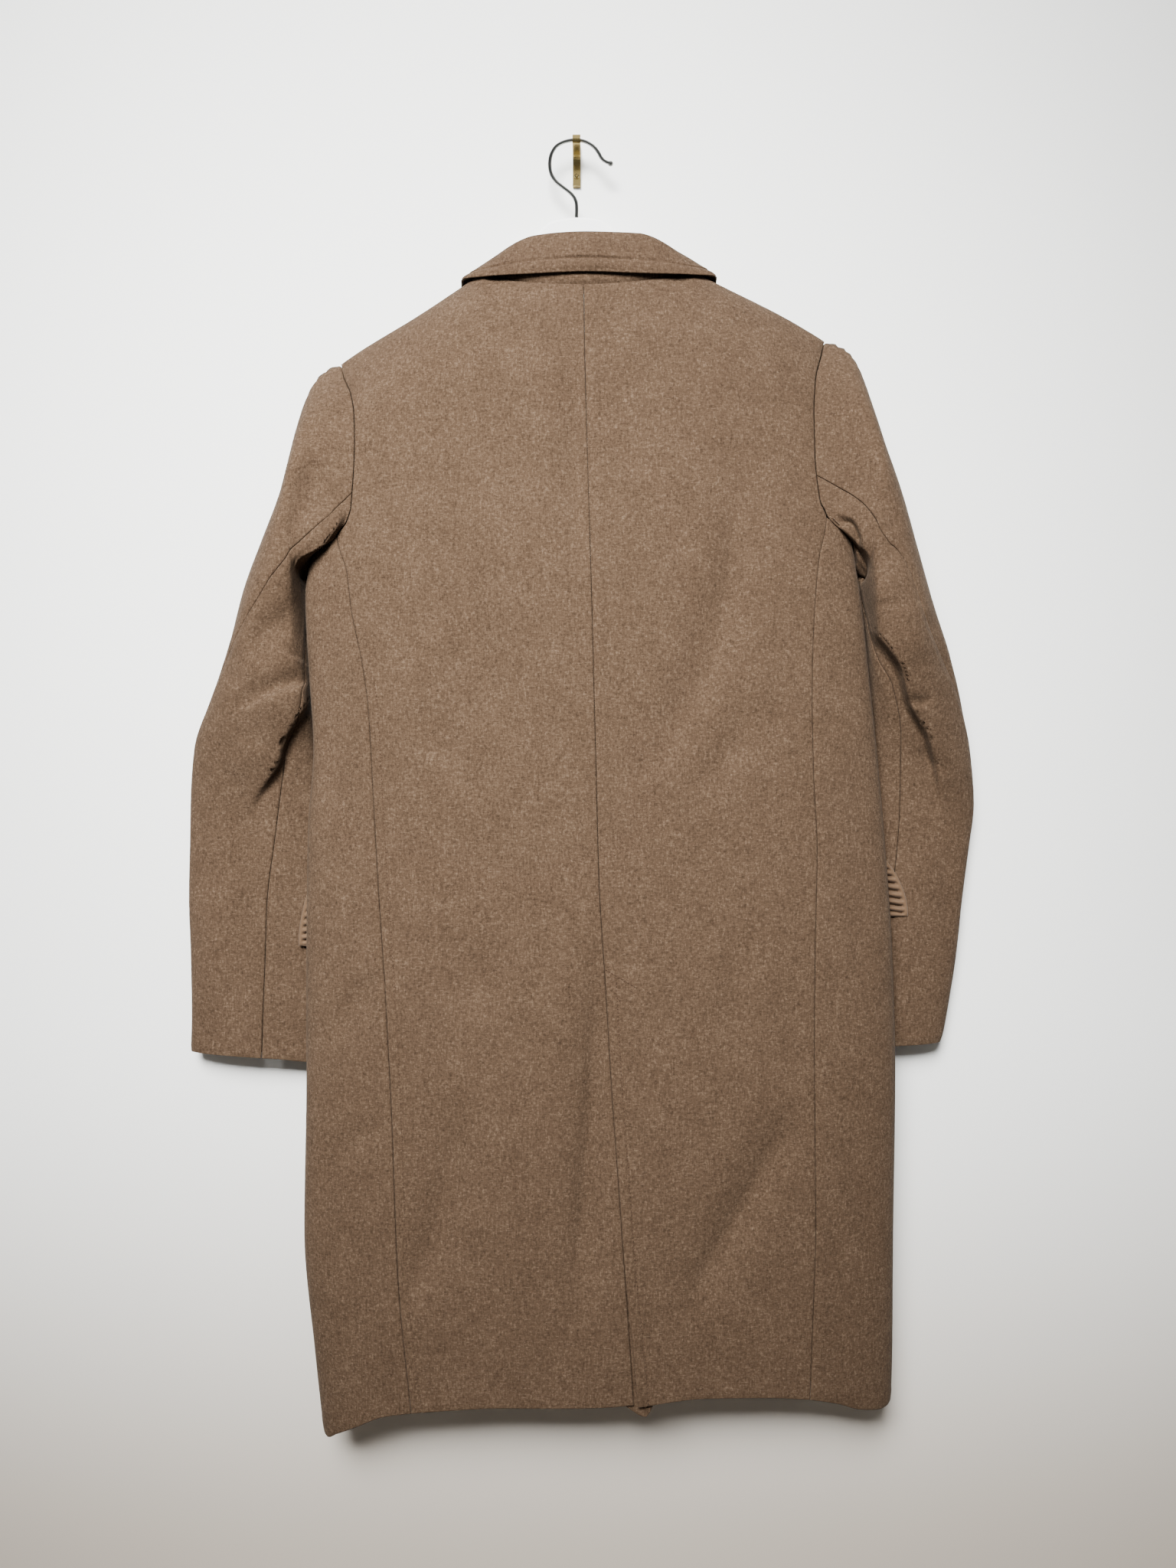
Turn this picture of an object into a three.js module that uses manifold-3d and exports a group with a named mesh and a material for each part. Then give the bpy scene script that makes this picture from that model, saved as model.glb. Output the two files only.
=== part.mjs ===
// A long wool overcoat on a wooden hanger, hung by the hanger's steel hook on a brass wall hook.
//
// Frame, in millimetres: the wall is the plane y = 0 and the coat hangs on its -Y side with its
// back outwards. +Z is up, +X is the wearer's right. The origin is the middle of the face by
// which the wall hook's plate lies on the wall.
import * as THREE from 'three';
import Module from 'manifold-3d';
import { mergeVertices } from 'three/addons/utils/BufferGeometryUtils.js';

const wasm = await Module();
wasm.setup();

// ---- Driving dimensions ----
const CLOTH = 2.4; // thickness of a lined and interfaced wool wall
const SEAM_GAP = 0.3; // clearance between two pieces that meet at a seam
const LAY_GAP = 0.5; // clearance under a piece that lies on another one
const BACK_ROUND = 2.5; // exponent of the oval section's back half
const FRONT_ROUND = 3; // exponent of its flatter front half
const BACK_ROLL = 100; // height in which the back rolls from the shoulder seam to its full depth
const FRONT_ROLL = 30;
const LEFT_FRONT_Y = -9; // outer face of the front that laps over, at the middle
const UNDER_FRONT_Y = -12.4; // outer face of the right front where it lies under the left one
const RIGHT_FRONT_Y = -9.6; // and beside it
const FRONT_LAP = 24; // each front passes the middle by this much
const FOREARM_ROOM_Y = -39; // the fronts lie this far from the wall where the forearms pass
const BODY_MIDDLE_Y = -45; // depth half way between the back and the fronts
const BREAK_POINT_Z = -470; // top button, where the lapels start to turn back
const WIRE = 3.4; // diameter of the hanger's hook wire
const HANGER_Y = -24; // plane of the hanger and of its hook
const HANGER_THICK = 9;
const PLATE = { width: 7.5, thick: 4.5, bottom: -20, top: 20 };
const BUTTON = { diameter: 26, thick: 3.6 };

const COLOURS = {
  wool: 0xa48667,
  lining: 0xa9875f,
  hanger: 0xf1f1ee,
  steel: 0xb4b4b2,
  brass: 0xc49a3a,
  horn: 0x4a3728,
};

// ---- Reading short tables by smooth curves ----

/** Curve through [key, value] pairs that is smooth and never overshoots them. */
function smoothCurve(pairs) {
  const points = [...pairs].sort((a, b) => a[0] - b[0]);
  const last = points.length - 1;
  const slope = (i) => (points[i + 1][1] - points[i][1]) / (points[i + 1][0] - points[i][0]);
  const tangent = points.map((_, i) => {
    if (i === 0) return slope(0);
    if (i === last) return slope(last - 1);
    const before = slope(i - 1);
    const after = slope(i);
    return before * after <= 0 ? 0 : (2 * before * after) / (before + after);
  });
  return (key) => {
    const t = THREE.MathUtils.clamp(key, points[0][0], points[last][0]);
    let i = 0;
    while (i < last - 1 && t > points[i + 1][0]) i += 1;
    const width = points[i + 1][0] - points[i][0];
    const s = (t - points[i][0]) / width;
    const blend = s * s * (3 - 2 * s);
    const bendStart = s * (1 - s) * (1 - s) * width * tangent[i];
    const bendEnd = s * s * (s - 1) * width * tangent[i + 1];
    return points[i][1] * (1 - blend) + points[i + 1][1] * blend + bendStart + bendEnd;
  };
}

/** Table with named columns: each column becomes a smooth curve over the first one. */
function tableOf(names, rows) {
  const curves = {};
  names.slice(1).forEach((name, i) => {
    curves[name] = smoothCurve(rows.map((row) => [row[0], row[i + 1]]));
  });
  return curves;
}

const { lerp, clamp, smoothstep } = THREE.MathUtils;
const evenly = (count) => Array.from({ length: count + 1 }, (_, i) => i / count);

// ---- Shape of the coat's body ----

// Side lines and depths of the oval section at each height.
const body = tableOf(
  ['z', 'left', 'right', 'back', 'side'],
  [
    [-100, -226, 238, -62, -24],
    [-178, -226, 238, -68, -24],
    [-200, -226, 240, -70, -25],
    [-300, -238, 252, -78, -36],
    [-396, -250, 262, -88, -44],
    [-423, -254, 266, -89, -46],
    [-500, -250, 274, -91, -48],
    [-568, -246, 281, -92, -48],
    [-650, -251, 288, -93, -49],
    [-757, -252, 295, -94, -50],
    [-871, -252, 298, -95, -50],
    [-1017, -254, 296, -97, -50],
    [-1129, -244, 295, -99, -50],
    [-1210, -235, 292, -100, -50],
  ],
);

// Highest edge of the body over x: shoulder seams, and the neck seam between the neck points.
const NECK_LEFT = -88;
const NECK_RIGHT = 108;
const SHOULDER_LEFT = { x: -226, z: -200 };
const SHOULDER_RIGHT = { x: 238, z: -178 };
const NAPE_Z = -137;
const top = {
  leftShoulder: smoothCurve([
    [SHOULDER_LEFT.x, SHOULDER_LEFT.z], [-202, -185], [-152, -156], [-108, -128], [NECK_LEFT, -115],
  ]),
  neck: smoothCurve([
    [NECK_LEFT, -115], [-62, -127], [-30, -134.5], [8, NAPE_Z], [48, -133.5], [82, -125], [NECK_RIGHT, -113],
  ]),
  rightShoulder: smoothCurve([
    [NECK_RIGHT, -113], [133, -125], [198, -156], [SHOULDER_RIGHT.x, SHOULDER_RIGHT.z],
  ]),
};
function topEdge(x) {
  if (x <= NECK_LEFT) return top.leftShoulder(x);
  return x < NECK_RIGHT ? top.neck(x) : top.rightShoulder(x);
}

// Depth of that edge.
const topEdgeDepth = smoothCurve([
  [SHOULDER_LEFT.x, -23], [NECK_LEFT, -29], [-62, -43], [-30, -55], [8, -60], [48, -56], [82, -44],
  [NECK_RIGHT, -29], [SHOULDER_RIGHT.x, -23],
]);

// Lines of the seams: x at each height.
const centreBack = smoothCurve([
  [NAPE_Z, 7], [-253, 9], [-336, 11], [-419, 14], [-516, 16.5], [-613, 19], [-689, 21], [-772, 26],
  [-862, 31], [-972, 39], [-1083, 47], [-1170, 53],
]);
const SIDES = {
  left: {
    sign: -1,
    neckX: NECK_LEFT,
    shoulderX: SHOULDER_LEFT.x,
    shoulderZ: SHOULDER_LEFT.z,
    backSeamTop: -374,
    frontSeamTop: -382,
    backEdge: smoothCurve([
      [SHOULDER_LEFT.z, SHOULDER_LEFT.x], [-216, -221], [-233, -213], [-255, -208], [-290, -206], [-345, -208], [-360, -212],
      [-374, -221], [-406, -211], [-443, -206], [-495, -195], [-531, -190], [-613, -185], [-697, -180],
      [-783, -174], [-892, -168], [-1054, -161], [-1171, -149],
    ]),
    armholeFront: smoothCurve([
      [SHOULDER_LEFT.z, SHOULDER_LEFT.x], [-230, -207], [-260, -199], [-300, -196], [-345, -199], [-382, -207],
    ]),
    armholeBottom: smoothCurve([[0, -374], [0.3, -388], [0.57, -396], [0.8, -392], [1, -382]]),
    hem: smoothCurve([[0, -1171], [0.1, -1177], [0.2, -1188], [0.35, -1198], [0.57, -1207], [0.75, -1204], [1, -1196]]),
  },
  right: {
    sign: 1,
    neckX: NECK_RIGHT,
    shoulderX: SHOULDER_RIGHT.x,
    shoulderZ: SHOULDER_RIGHT.z,
    backSeamTop: -355,
    frontSeamTop: -370,
    backEdge: smoothCurve([
      [SHOULDER_RIGHT.z, SHOULDER_RIGHT.x], [-194, 233], [-223, 225], [-262, 222], [-295, 222], [-340, 226], [-355, 232], [-394, 224],
      [-430, 220], [-480, 217], [-533, 216], [-597, 217], [-660, 220], [-753, 218], [-851, 217],
      [-1005, 218], [-1088, 215], [-1159, 212],
    ]),
    armholeFront: smoothCurve([
      [SHOULDER_RIGHT.z, SHOULDER_RIGHT.x], [-210, 219], [-250, 211], [-300, 208], [-340, 211], [-370, 219],
    ]),
    armholeBottom: smoothCurve([[0, -355], [0.3, -374], [0.57, -397], [0.8, -388], [1, -370]]),
    hem: smoothCurve([[0, -1159], [0.1, -1172], [0.2, -1188], [0.35, -1184], [0.56, -1173], [0.75, -1172], [1, -1176]]),
  },
};
const FRONT_SEAM_AT = 0.84; // the side-front seams lie at this share of the half width
const BACK_MIDDLE_Z = -362; // level with the armhole's foot, where the body panels' upper rows end
const FRONT_MIDDLE_Z = -360;
const SEAM_FOOT_Z = -1171; // foot of the centre and side-back seams
const backHem = smoothCurve([
  [-149, -1171], [-103, -1166], [-74, -1164], [-8, -1163], [53, -1161], [115, -1155], [177, -1156], [212, -1159],
]);
const FRONT_HEM_MIDDLE = -1176;

// Soft folds of the hanging back. A fold runs from (x0, z0) to (x1, z1), bows sideways by bow,
// is about 2 * width wide and sinks by depth (a negative depth is a ridge).
const FOLDS = [
  { x0: -7, z0: -215, x1: 3, z1: -410, bow: 0, width: 15, depth: 5 },
  { x0: -112, z0: -270, x1: -43, z1: -590, bow: -26, width: 21, depth: 6 },
  { x0: -131, z0: -525, x1: -88, z1: -615, bow: -4, width: 18, depth: 4 },
  { x0: 150, z0: -285, x1: 62, z1: -605, bow: 26, width: 22, depth: 7 },
  { x0: 167, z0: -520, x1: 112, z1: -612, bow: 6, width: 18, depth: 4 },
  { x0: -102, z0: -735, x1: -97, z1: -820, bow: 5, width: 20, depth: 3 },
  { x0: -118, z0: -880, x1: -150, z1: -1080, bow: 14, width: 22, depth: 6 },
  { x0: 200, z0: -885, x1: 98, z1: -1090, bow: 0, width: 24, depth: 6 },
  { x0: 20, z0: -740, x1: 2, z1: -1120, bow: 2, width: 21, depth: 8 },
  { x0: 147, z0: -735, x1: 143, z1: -860, bow: 0, width: 16, depth: 3 },
  { x0: -176, z0: -770, x1: -236, z1: -850, bow: 0, width: 13, depth: 4 },
  { x0: -188, z0: -905, x1: -238, z1: -975, bow: 0, width: 14, depth: 4 },
];
function foldDepth(x, z) {
  let depth = 0;
  for (const fold of FOLDS) {
    const along = (z - fold.z0) / (fold.z1 - fold.z0);
    if (along <= 0 || along >= 1) continue;
    const middle = lerp(fold.x0, fold.x1, along) + 4 * fold.bow * along * (1 - along);
    const fade = Math.sin(Math.PI * along) ** 0.8;
    depth += fold.depth * fade * Math.exp(-(((x - middle) / fold.width) ** 2));
  }
  return depth;
}

/** Share of the half width at which x lies, at height z: 0 in the middle and 1 on a side line. */
function sideShare(x, z) {
  const middle = (body.left(z) + body.right(z)) / 2;
  const half = (body.right(z) - body.left(z)) / 2;
  return Math.min(1, Math.abs(x - middle) / half);
}

/** The oval's depth at a share of its half width, from the side line's depth to the middle's. */
function ovalDepth(share, side, middle, round) {
  return side + (middle - side) * (1 - share ** round) ** (1 / round);
}

/** Rolls a depth over from the top edge: a quarter round of the given height. */
function rollOver(x, z, depth, height, edgeShift) {
  const down = clamp((topEdge(x) - z) / height, 0, 1);
  const edge = topEdgeDepth(x) + edgeShift;
  return edge + (depth - edge) * Math.sqrt(1 - (1 - down) ** 2);
}

function backDepth(x, z) {
  const share = sideShare(x, z);
  const depth = ovalDepth(share, body.side(z), body.back(z), BACK_ROUND);
  return rollOver(x, z, depth + foldDepth(x, z) * (1 - share ** 8), BACK_ROLL, -SEAM_GAP / 2);
}

/** Depth of a front: the right one sinks where it passes under the left one. */
function frontDepth(side, x, z) {
  const clear = smoothstep(x - centreBack(z), FRONT_LAP + 12, FRONT_LAP + 70);
  const middleDepth = side.sign < 0 ? LEFT_FRONT_Y : lerp(UNDER_FRONT_Y, RIGHT_FRONT_Y, clear);
  const share = sideShare(x, z);
  const depth = ovalDepth(share, body.side(z), middleDepth, FRONT_ROUND);
  const atSide = smoothstep(share, 0.25, 0.5);
  const atForearm = smoothstep(-z, 560, 625) * (1 - smoothstep(-z, 885, 960));
  const pushed = depth > FOREARM_ROOM_Y ? lerp(depth, FOREARM_ROOM_Y, atSide * atForearm) : depth;
  return rollOver(x, z, pushed, FRONT_ROLL, SEAM_GAP / 2);
}

// ---- Walls of cloth ----

/** Indices of the two grids' faces and of the rim that joins them. */
function wallIndices(columns, rows) {
  const index = [];
  const count = columns * rows;
  const quad = (a, b, c, d) => index.push(a, b, c, a, c, d);
  for (let j = 0; j < rows - 1; j += 1) {
    for (let i = 0; i < columns - 1; i += 1) {
      const a = j * columns + i;
      quad(a, a + 1, a + 1 + columns, a + columns);
      quad(a + count, a + columns + count, a + 1 + columns + count, a + 1 + count);
    }
  }
  const last = (rows - 1) * columns;
  for (let i = 0; i < columns - 1; i += 1) {
    quad(i, i + count, i + 1 + count, i + 1);
    quad(last + i, last + i + 1, last + i + 1 + count, last + i + count);
  }
  for (let j = 0; j < rows - 1; j += 1) {
    const a = j * columns;
    quad(a, a + columns, a + columns + count, a + count);
    const b = a + columns - 1;
    quad(b, b + count, b + columns + count, b + columns);
  }
  return index;
}

/** Geometry whose faces point outwards, whichever way its grid was wound. */
function closedGeometry(positions, index) {
  const at = (i) => new THREE.Vector3().fromArray(positions, 3 * i);
  let volume = 0;
  for (let i = 0; i < index.length; i += 3) {
    volume += at(index[i]).dot(at(index[i + 1]).cross(at(index[i + 2])));
  }
  if (volume < 0) index.reverse();
  const geometry = new THREE.BufferGeometry();
  geometry.setAttribute('position', new THREE.Float32BufferAttribute(positions, 3));
  geometry.setIndex(index);
  geometry.computeVertexNormals();
  return geometry;
}

/**
 * A wall of cloth: the outer face is point(u, v) over a grid, and the inner face is the same
 * grid moved by thick along the way that inward(u, v, point) roughly points to, at right angles
 * to the face. Where along(u, v) gives a direction, the move is at right angles to that one.
 */
function clothWall(point, us, vs, inward, { thick = CLOTH, along = null } = {}) {
  const step = 1e-3;
  const outer = [];
  const inner = [];
  for (const v of vs) {
    for (const u of us) {
      const here = point(u, v);
      const sideways = point(u + step, v).sub(point(u - step, v));
      const down = along?.(u, v) ?? point(u, v + step).sub(point(u, v - step));
      const normal = sideways.cross(down).normalize();
      if (normal.dot(inward(u, v, here)) < 0) normal.negate();
      outer.push(...here.toArray());
      inner.push(...here.addScaledVector(normal, thick).toArray());
    }
  }
  return closedGeometry([...outer, ...inner], wallIndices(us.length, vs.length));
}

const coat = new THREE.Group();

function addPiece(name, geometry, colour, roughness = 0.95, metalness = 0, parent = coat) {
  const material = new THREE.MeshStandardMaterial({ color: colour, roughness, metalness });
  const mesh = new THREE.Mesh(geometry, material);
  mesh.name = name;
  parent.add(mesh);
  return mesh;
}

// Rows of every body panel: 0 to 1 from the top edge to the armhole's foot, 1 to 2 to the hem.
const ROWS_ABOVE = [0, 0.03, 0.1, 0.22, 0.38, 0.56, 0.74, 0.86, 0.94];
const ROWS_BELOW = evenly(16).map((v) => 1 + v);
const PANEL_ROWS = [...ROWS_ABOVE, ...ROWS_BELOW];
const SHOULDER_COLUMNS = 8; // the same on the back and the front, so that their shoulder seams match
const EDGE_SHARE = 0.0008; // a panel stops this share of its width short of its seams

/** Height of a row between three levels. */
const heightAt = (v, upper, middle, lower) => (v <= 1 ? lerp(upper, middle, v) : lerp(middle, lower, v - 1));

// ---- Back panels ----
function backPoint(side, u, v) {
  const topX = lerp(centreBack(NAPE_Z), side.shoulderX, u);
  const hemX = lerp(centreBack(SEAM_FOOT_Z), side.backEdge(SEAM_FOOT_Z), u);
  const middleZ = lerp(BACK_MIDDLE_Z, side.backSeamTop, u * u);
  const z = heightAt(v, topEdge(topX), middleZ, backHem(hemX));
  const x = lerp(centreBack(z), side.backEdge(z), u);
  return new THREE.Vector3(x, backDepth(x, z), z);
}

for (const [name, side] of Object.entries(SIDES)) {
  const neckShare = (side.neckX - centreBack(NAPE_Z)) / (side.shoulderX - centreBack(NAPE_Z));
  const inNeck = [EDGE_SHARE, 0.12, 0.24, 0.33].filter((u) => u < neckShare);
  const inShoulder = evenly(SHOULDER_COLUMNS).map((u) => lerp(neckShare, 1 - EDGE_SHARE, u));
  const columns = [...inNeck, ...inShoulder];
  const inwards = () => new THREE.Vector3(0, 1, 0);
  const along = (u, v) => (v === 0 && u >= neckShare ? new THREE.Vector3(0, 1, 0) : null);
  const panel = clothWall((u, v) => backPoint(side, u, v), columns, PANEL_ROWS, inwards, { along });
  addPiece(`back_${name}`, panel, COLOURS.wool);
}

// ---- Vent underlap: hangs behind the right back's edge, a little longer than the hem ----
const VENT_TOP = -735;
const UNDERLAP = { gap: 1.3, from: -12, to: 40 }; // its edges lie this far from the centre back line
const underlapFoot = smoothCurve([[0, -1160], [0.42, -1173], [0.62, -1158], [1, -1150]]);
const ventUnderlap = clothWall(
  (u, v) => {
    const z = lerp(VENT_TOP, underlapFoot(u), v);
    const x = centreBack(z) + lerp(UNDERLAP.from, UNDERLAP.to, u);
    return new THREE.Vector3(x, backDepth(x, z) + CLOTH + UNDERLAP.gap, z);
  },
  [0, 0.22, 0.42, 0.62, 1],
  evenly(9),
  () => new THREE.Vector3(0, 1, 0),
);
addPiece('vent_underlap', ventUnderlap, COLOURS.wool);

// ---- Side body panels: round the side from the side-back seam to the side-front seam ----
function sidePoint(side, w, v) {
  const z = heightAt(v, 0, side.armholeBottom(w), side.hem(w));
  const middle = (body.left(z) + body.right(z)) / 2;
  const half = (body.right(z) - body.left(z)) / 2;
  const backShare = Math.abs(side.backEdge(z) - middle) / half;
  const backTurn = Math.acos(backShare ** (BACK_ROUND / 2));
  const frontTurn = Math.acos(FRONT_SEAM_AT ** (FRONT_ROUND / 2));
  const turn = lerp(backTurn, -frontTurn, w);
  const round = turn > 0 ? BACK_ROUND : FRONT_ROUND;
  const x = middle + side.sign * half * Math.cos(turn) ** (2 / round);
  const y = turn > 0 ? backDepth(x, z) : frontDepth(side, x, z);
  return new THREE.Vector3(x, y, z);
}

const SIDE_EDGE_SHARE = 0.0012;
for (const [name, side] of Object.entries(SIDES)) {
  const columns = evenly(8).map((w) => lerp(SIDE_EDGE_SHARE, 1 - SIDE_EDGE_SHARE, w));
  const towardsMiddle = (w, v, here) => new THREE.Vector3(-here.x, BODY_MIDDLE_Y - here.y, 0);
  const panel = clothWall((w, v) => sidePoint(side, w, v), columns, ROWS_BELOW, towardsMiddle);
  addPiece(`side_${name}`, panel, COLOURS.wool);
}

// ---- Fronts: from the side-front seam to the lapped front edge ----
function frontEdgeX(side, z) {
  const overlap = -side.sign * FRONT_LAP;
  if (z <= BREAK_POINT_Z) return centreBack(z) + overlap;
  const neckZ = topEdge(side.neckX);
  const down = clamp((neckZ - z) / (neckZ - BREAK_POINT_Z), 0, 1);
  return lerp(side.neckX, centreBack(BREAK_POINT_Z) + overlap, down);
}

function frontPoint(side, u, v) {
  const upperZ = topEdge(lerp(side.shoulderX, side.neckX, u));
  const middleZ = lerp(side.frontSeamTop, FRONT_MIDDLE_Z, 1 - (1 - u) ** 2);
  const z = heightAt(v, upperZ, middleZ, lerp(side.hem(1), FRONT_HEM_MIDDLE, u));
  const middle = (body.left(z) + body.right(z)) / 2;
  const half = (body.right(z) - body.left(z)) / 2;
  const seamX = middle + side.sign * half * FRONT_SEAM_AT;
  const outerX = v < 1 ? side.armholeFront(z) : seamX;
  const x = lerp(outerX, frontEdgeX(side, z), u);
  return new THREE.Vector3(x, frontDepth(side, x, z), z);
}

for (const [name, side] of Object.entries(SIDES)) {
  const inwards = () => new THREE.Vector3(0, -1, 0);
  const columns = evenly(SHOULDER_COLUMNS).map((u) => lerp(EDGE_SHARE, 1, u));
  const along = (u, v) => (v === 0 ? new THREE.Vector3(0, 1, 0) : null);
  const panel = clothWall((u, v) => frontPoint(side, u, v), columns, PANEL_ROWS, inwards, { along });
  addPiece(`front_${name}`, panel, COLOURS.wool);
}

// ---- Sleeves ----

// One row for each station from the armhole to the cuff: the sleeve's outer and inner edge seen
// from behind, the depth of its middle, half its thickness, and the turns in degrees of the
// hind-arm seam and of the front seam (0 outer edge, 90 back, 180 inner edge).
const SLEEVE_NAMES = ['at', 'outerX', 'outerZ', 'innerX', 'innerZ', 'middleY', 'halfThick', 'hind', 'front'];
const SLEEVES = {
  left: tableOf(SLEEVE_NAMES, [
    [0, -226, -200, -250, -396, -38, 30, 106.5, 205],
    [1, -244, -236, -254, -400, -40, 33, 119, 203],
    [2, -262, -280, -257, -406, -42, 36, 124, 200],
    [3, -276.5, -330, -257.5, -416, -43, 38, 114, 196],
    [4, -293, -372, -256.5, -434, -42, 39, 94, 188],
    [5, -311, -417, -255, -462, -40, 38, 74, 178],
    [6, -328, -475, -252.5, -500, -37, 35, 34, 160],
    [7, -347, -524, -249.5, -538, -32, 30, 6, 140],
    [8, -364, -567, -248, -572, -25, 23, -4, 122],
    [9, -369.5, -615, -245, -615, -20, 17.5, -10, 112],
    [10, -371, -660, -241, -660, -18.5, 15.5, -14, 104],
    [11, -372, -710, -239, -710, -18.5, 15.5, -16, 98],
    [12, -370, -766, -235, -766, -18.5, 15.5, -18, 94],
    [13, -369, -820, -231, -824, -18.5, 15.5, -20, 91],
    [14, -370, -858, -228, -867, -18.5, 15.5, -20, 90],
  ]),
  right: tableOf(SLEEVE_NAMES, [
    [0, 238, -178, 262, -397, -38, 30, 109, 205],
    [1, 256, -204, 267, -401, -40, 33, 111, 203],
    [2, 275, -248, 271, -406, -42, 36, 109.5, 200],
    [3, 291, -290, 269.5, -414, -43, 38, 103, 196],
    [4, 305, -330, 271, -430, -42, 39, 92, 186],
    [5, 321, -384, 274, -456, -40, 38, 72, 172],
    [6, 337, -436, 276, -490, -37, 35, 62, 146],
    [7, 353, -480, 279, -520, -32, 30, 48, 122],
    [8, 367, -531, 281.5, -555, -25, 23, 18, 114],
    [9, 377, -577, 279, -590, -20, 17.5, -4, 112],
    [10, 381, -621, 271, -624, -18.5, 15.5, -12, 107],
    [11, 376, -664, 262, -664, -18.5, 15.5, -16, 102],
    [12, 370, -710, 250, -710, -18.5, 15.5, -18, 98],
    [13, 364, -766, 233, -766, -18.5, 15.5, -20, 94],
    [14, 352, -838, 210, -838, -18.5, 15.5, -20, 90],
    [15, 349, -849, 207, -855, -18.5, 15.5, -20, 90],
  ]),
};
const LAST_STATION = { left: 14, right: 15 };
const SLEEVE_ROUND = 2.3; // exponent of the sleeve's oval section
const ARMHOLE_GAP = 0.9; // wider than a straight seam's, because both edges are faceted
const ARMHOLE_TURNS = { backSeam: 140, frontSeam: 220 };
const SLEEVE_START = { out: 22, down: 6 }; // the way a sleeve leaves its armhole, for each station

/** The armhole's edge at a turn in degrees: down the back, under the arm and up the front. */
function armholePoint(side, turn) {
  const { backSeam, frontSeam } = ARMHOLE_TURNS;
  const wrapped = ((turn % 360) + 360) % 360;
  if (wrapped > backSeam && wrapped < frontSeam) {
    return sidePoint(side, (wrapped - backSeam) / (frontSeam - backSeam), 1);
  }
  if (wrapped <= backSeam) {
    const z = lerp(side.shoulderZ, side.backSeamTop, wrapped / backSeam);
    const x = side.backEdge(z);
    return new THREE.Vector3(x, backDepth(x, z), z);
  }
  const z = lerp(side.shoulderZ, side.frontSeamTop, (360 - wrapped) / (360 - frontSeam));
  const x = side.armholeFront(z);
  return new THREE.Vector3(x, frontDepth(side, x, z), z);
}

// Deep folds of the sleeves, on their back: each runs from (x0, z0) to (x1, z1), is full on its
// lower side and steep on its upper side, over width, and stands out by height.
const SLEEVE_FOLDS = {
  left: [
    { x0: -244, z0: -512, x1: -330, z1: -548, width: 26, height: 9 },
    { x0: -240, z0: -560, x1: -345, z1: -640, width: 34, height: 13 },
    { x0: -228, z0: -352, x1: -290, z1: -420, width: 20, height: 6 },
  ],
  right: [
    { x0: 262, z0: -360, x1: 276, z1: -452, width: 22, height: 8 },
    { x0: 272, z0: -478, x1: 320, z1: -528, width: 22, height: 6 },
    { x0: 300, z0: -524, x1: 346, z1: -600, width: 26, height: 7 },
  ],
};
function sleeveFold(folds, x, z) {
  let height = 0;
  for (const fold of folds) {
    const run = new THREE.Vector2(fold.x1 - fold.x0, fold.z1 - fold.z0);
    const length = run.length();
    run.normalize();
    const from = new THREE.Vector2(x - fold.x0, z - fold.z0);
    const along = from.dot(run) / length;
    if (along <= -0.15 || along >= 1.15) continue;
    const across = from.dot(new THREE.Vector2(run.y, -run.x)) / fold.width;
    const fade = smoothstep(along, -0.15, 0.2) * (1 - smoothstep(along, 0.6, 1.15));
    const profile = across > 0 ? Math.exp(-((across * 2.2) ** 2)) : Math.exp(-(across ** 2));
    height += fold.height * fade * profile;
  }
  return height;
}

/** The sleeve's outer face at a station and a turn in degrees. */
function sleevePoint(name, turn, at) {
  const rows = SLEEVES[name];
  const side = SIDES[name];
  const angle = THREE.MathUtils.degToRad(turn);
  const power = (value) => Math.sign(value) * Math.abs(value) ** (2 / SLEEVE_ROUND);
  const out = power(Math.cos(angle));
  const back = power(Math.sin(angle));
  const x = (rows.outerX(at) * (1 + out) + rows.innerX(at) * (1 - out)) / 2;
  const z = (rows.outerZ(at) * (1 + out) + rows.innerZ(at) * (1 - out)) / 2;
  const fold = back > 0 ? sleeveFold(SLEEVE_FOLDS[name], x, z) * back : 0;
  const oval = new THREE.Vector3(x, rows.middleY(at) - rows.halfThick(at) * back - fold, z);
  const joined = 1 - smoothstep(at, 0, 3);
  if (joined === 0) return oval;
  const rim = armholePoint(side, turn);
  rim.x += side.sign * ARMHOLE_GAP;
  rim.z += SEAM_GAP * Math.max(0, -Math.cos(angle));
  rim.x += side.sign * SLEEVE_START.out * at;
  rim.z -= SLEEVE_START.down * at;
  return oval.lerp(rim, joined);
}

/** The way in which the sleeve runs at a station. */
function sleeveRun(name, at) {
  const centre = (station) => {
    const rows = SLEEVES[name];
    const x = (rows.outerX(station) + rows.innerX(station)) / 2;
    const z = (rows.outerZ(station) + rows.innerZ(station)) / 2;
    return new THREE.Vector3(x, rows.middleY(station), z);
  };
  if (at < 0.5) return new THREE.Vector3(SIDES[name].sign, 0, -0.12).normalize();
  return centre(at + 0.5).sub(centre(at - 0.5)).normalize();
}

const SLEEVE_EDGE_TURN = 0.25; // degrees that each sleeve piece stops short of its seam
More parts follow.
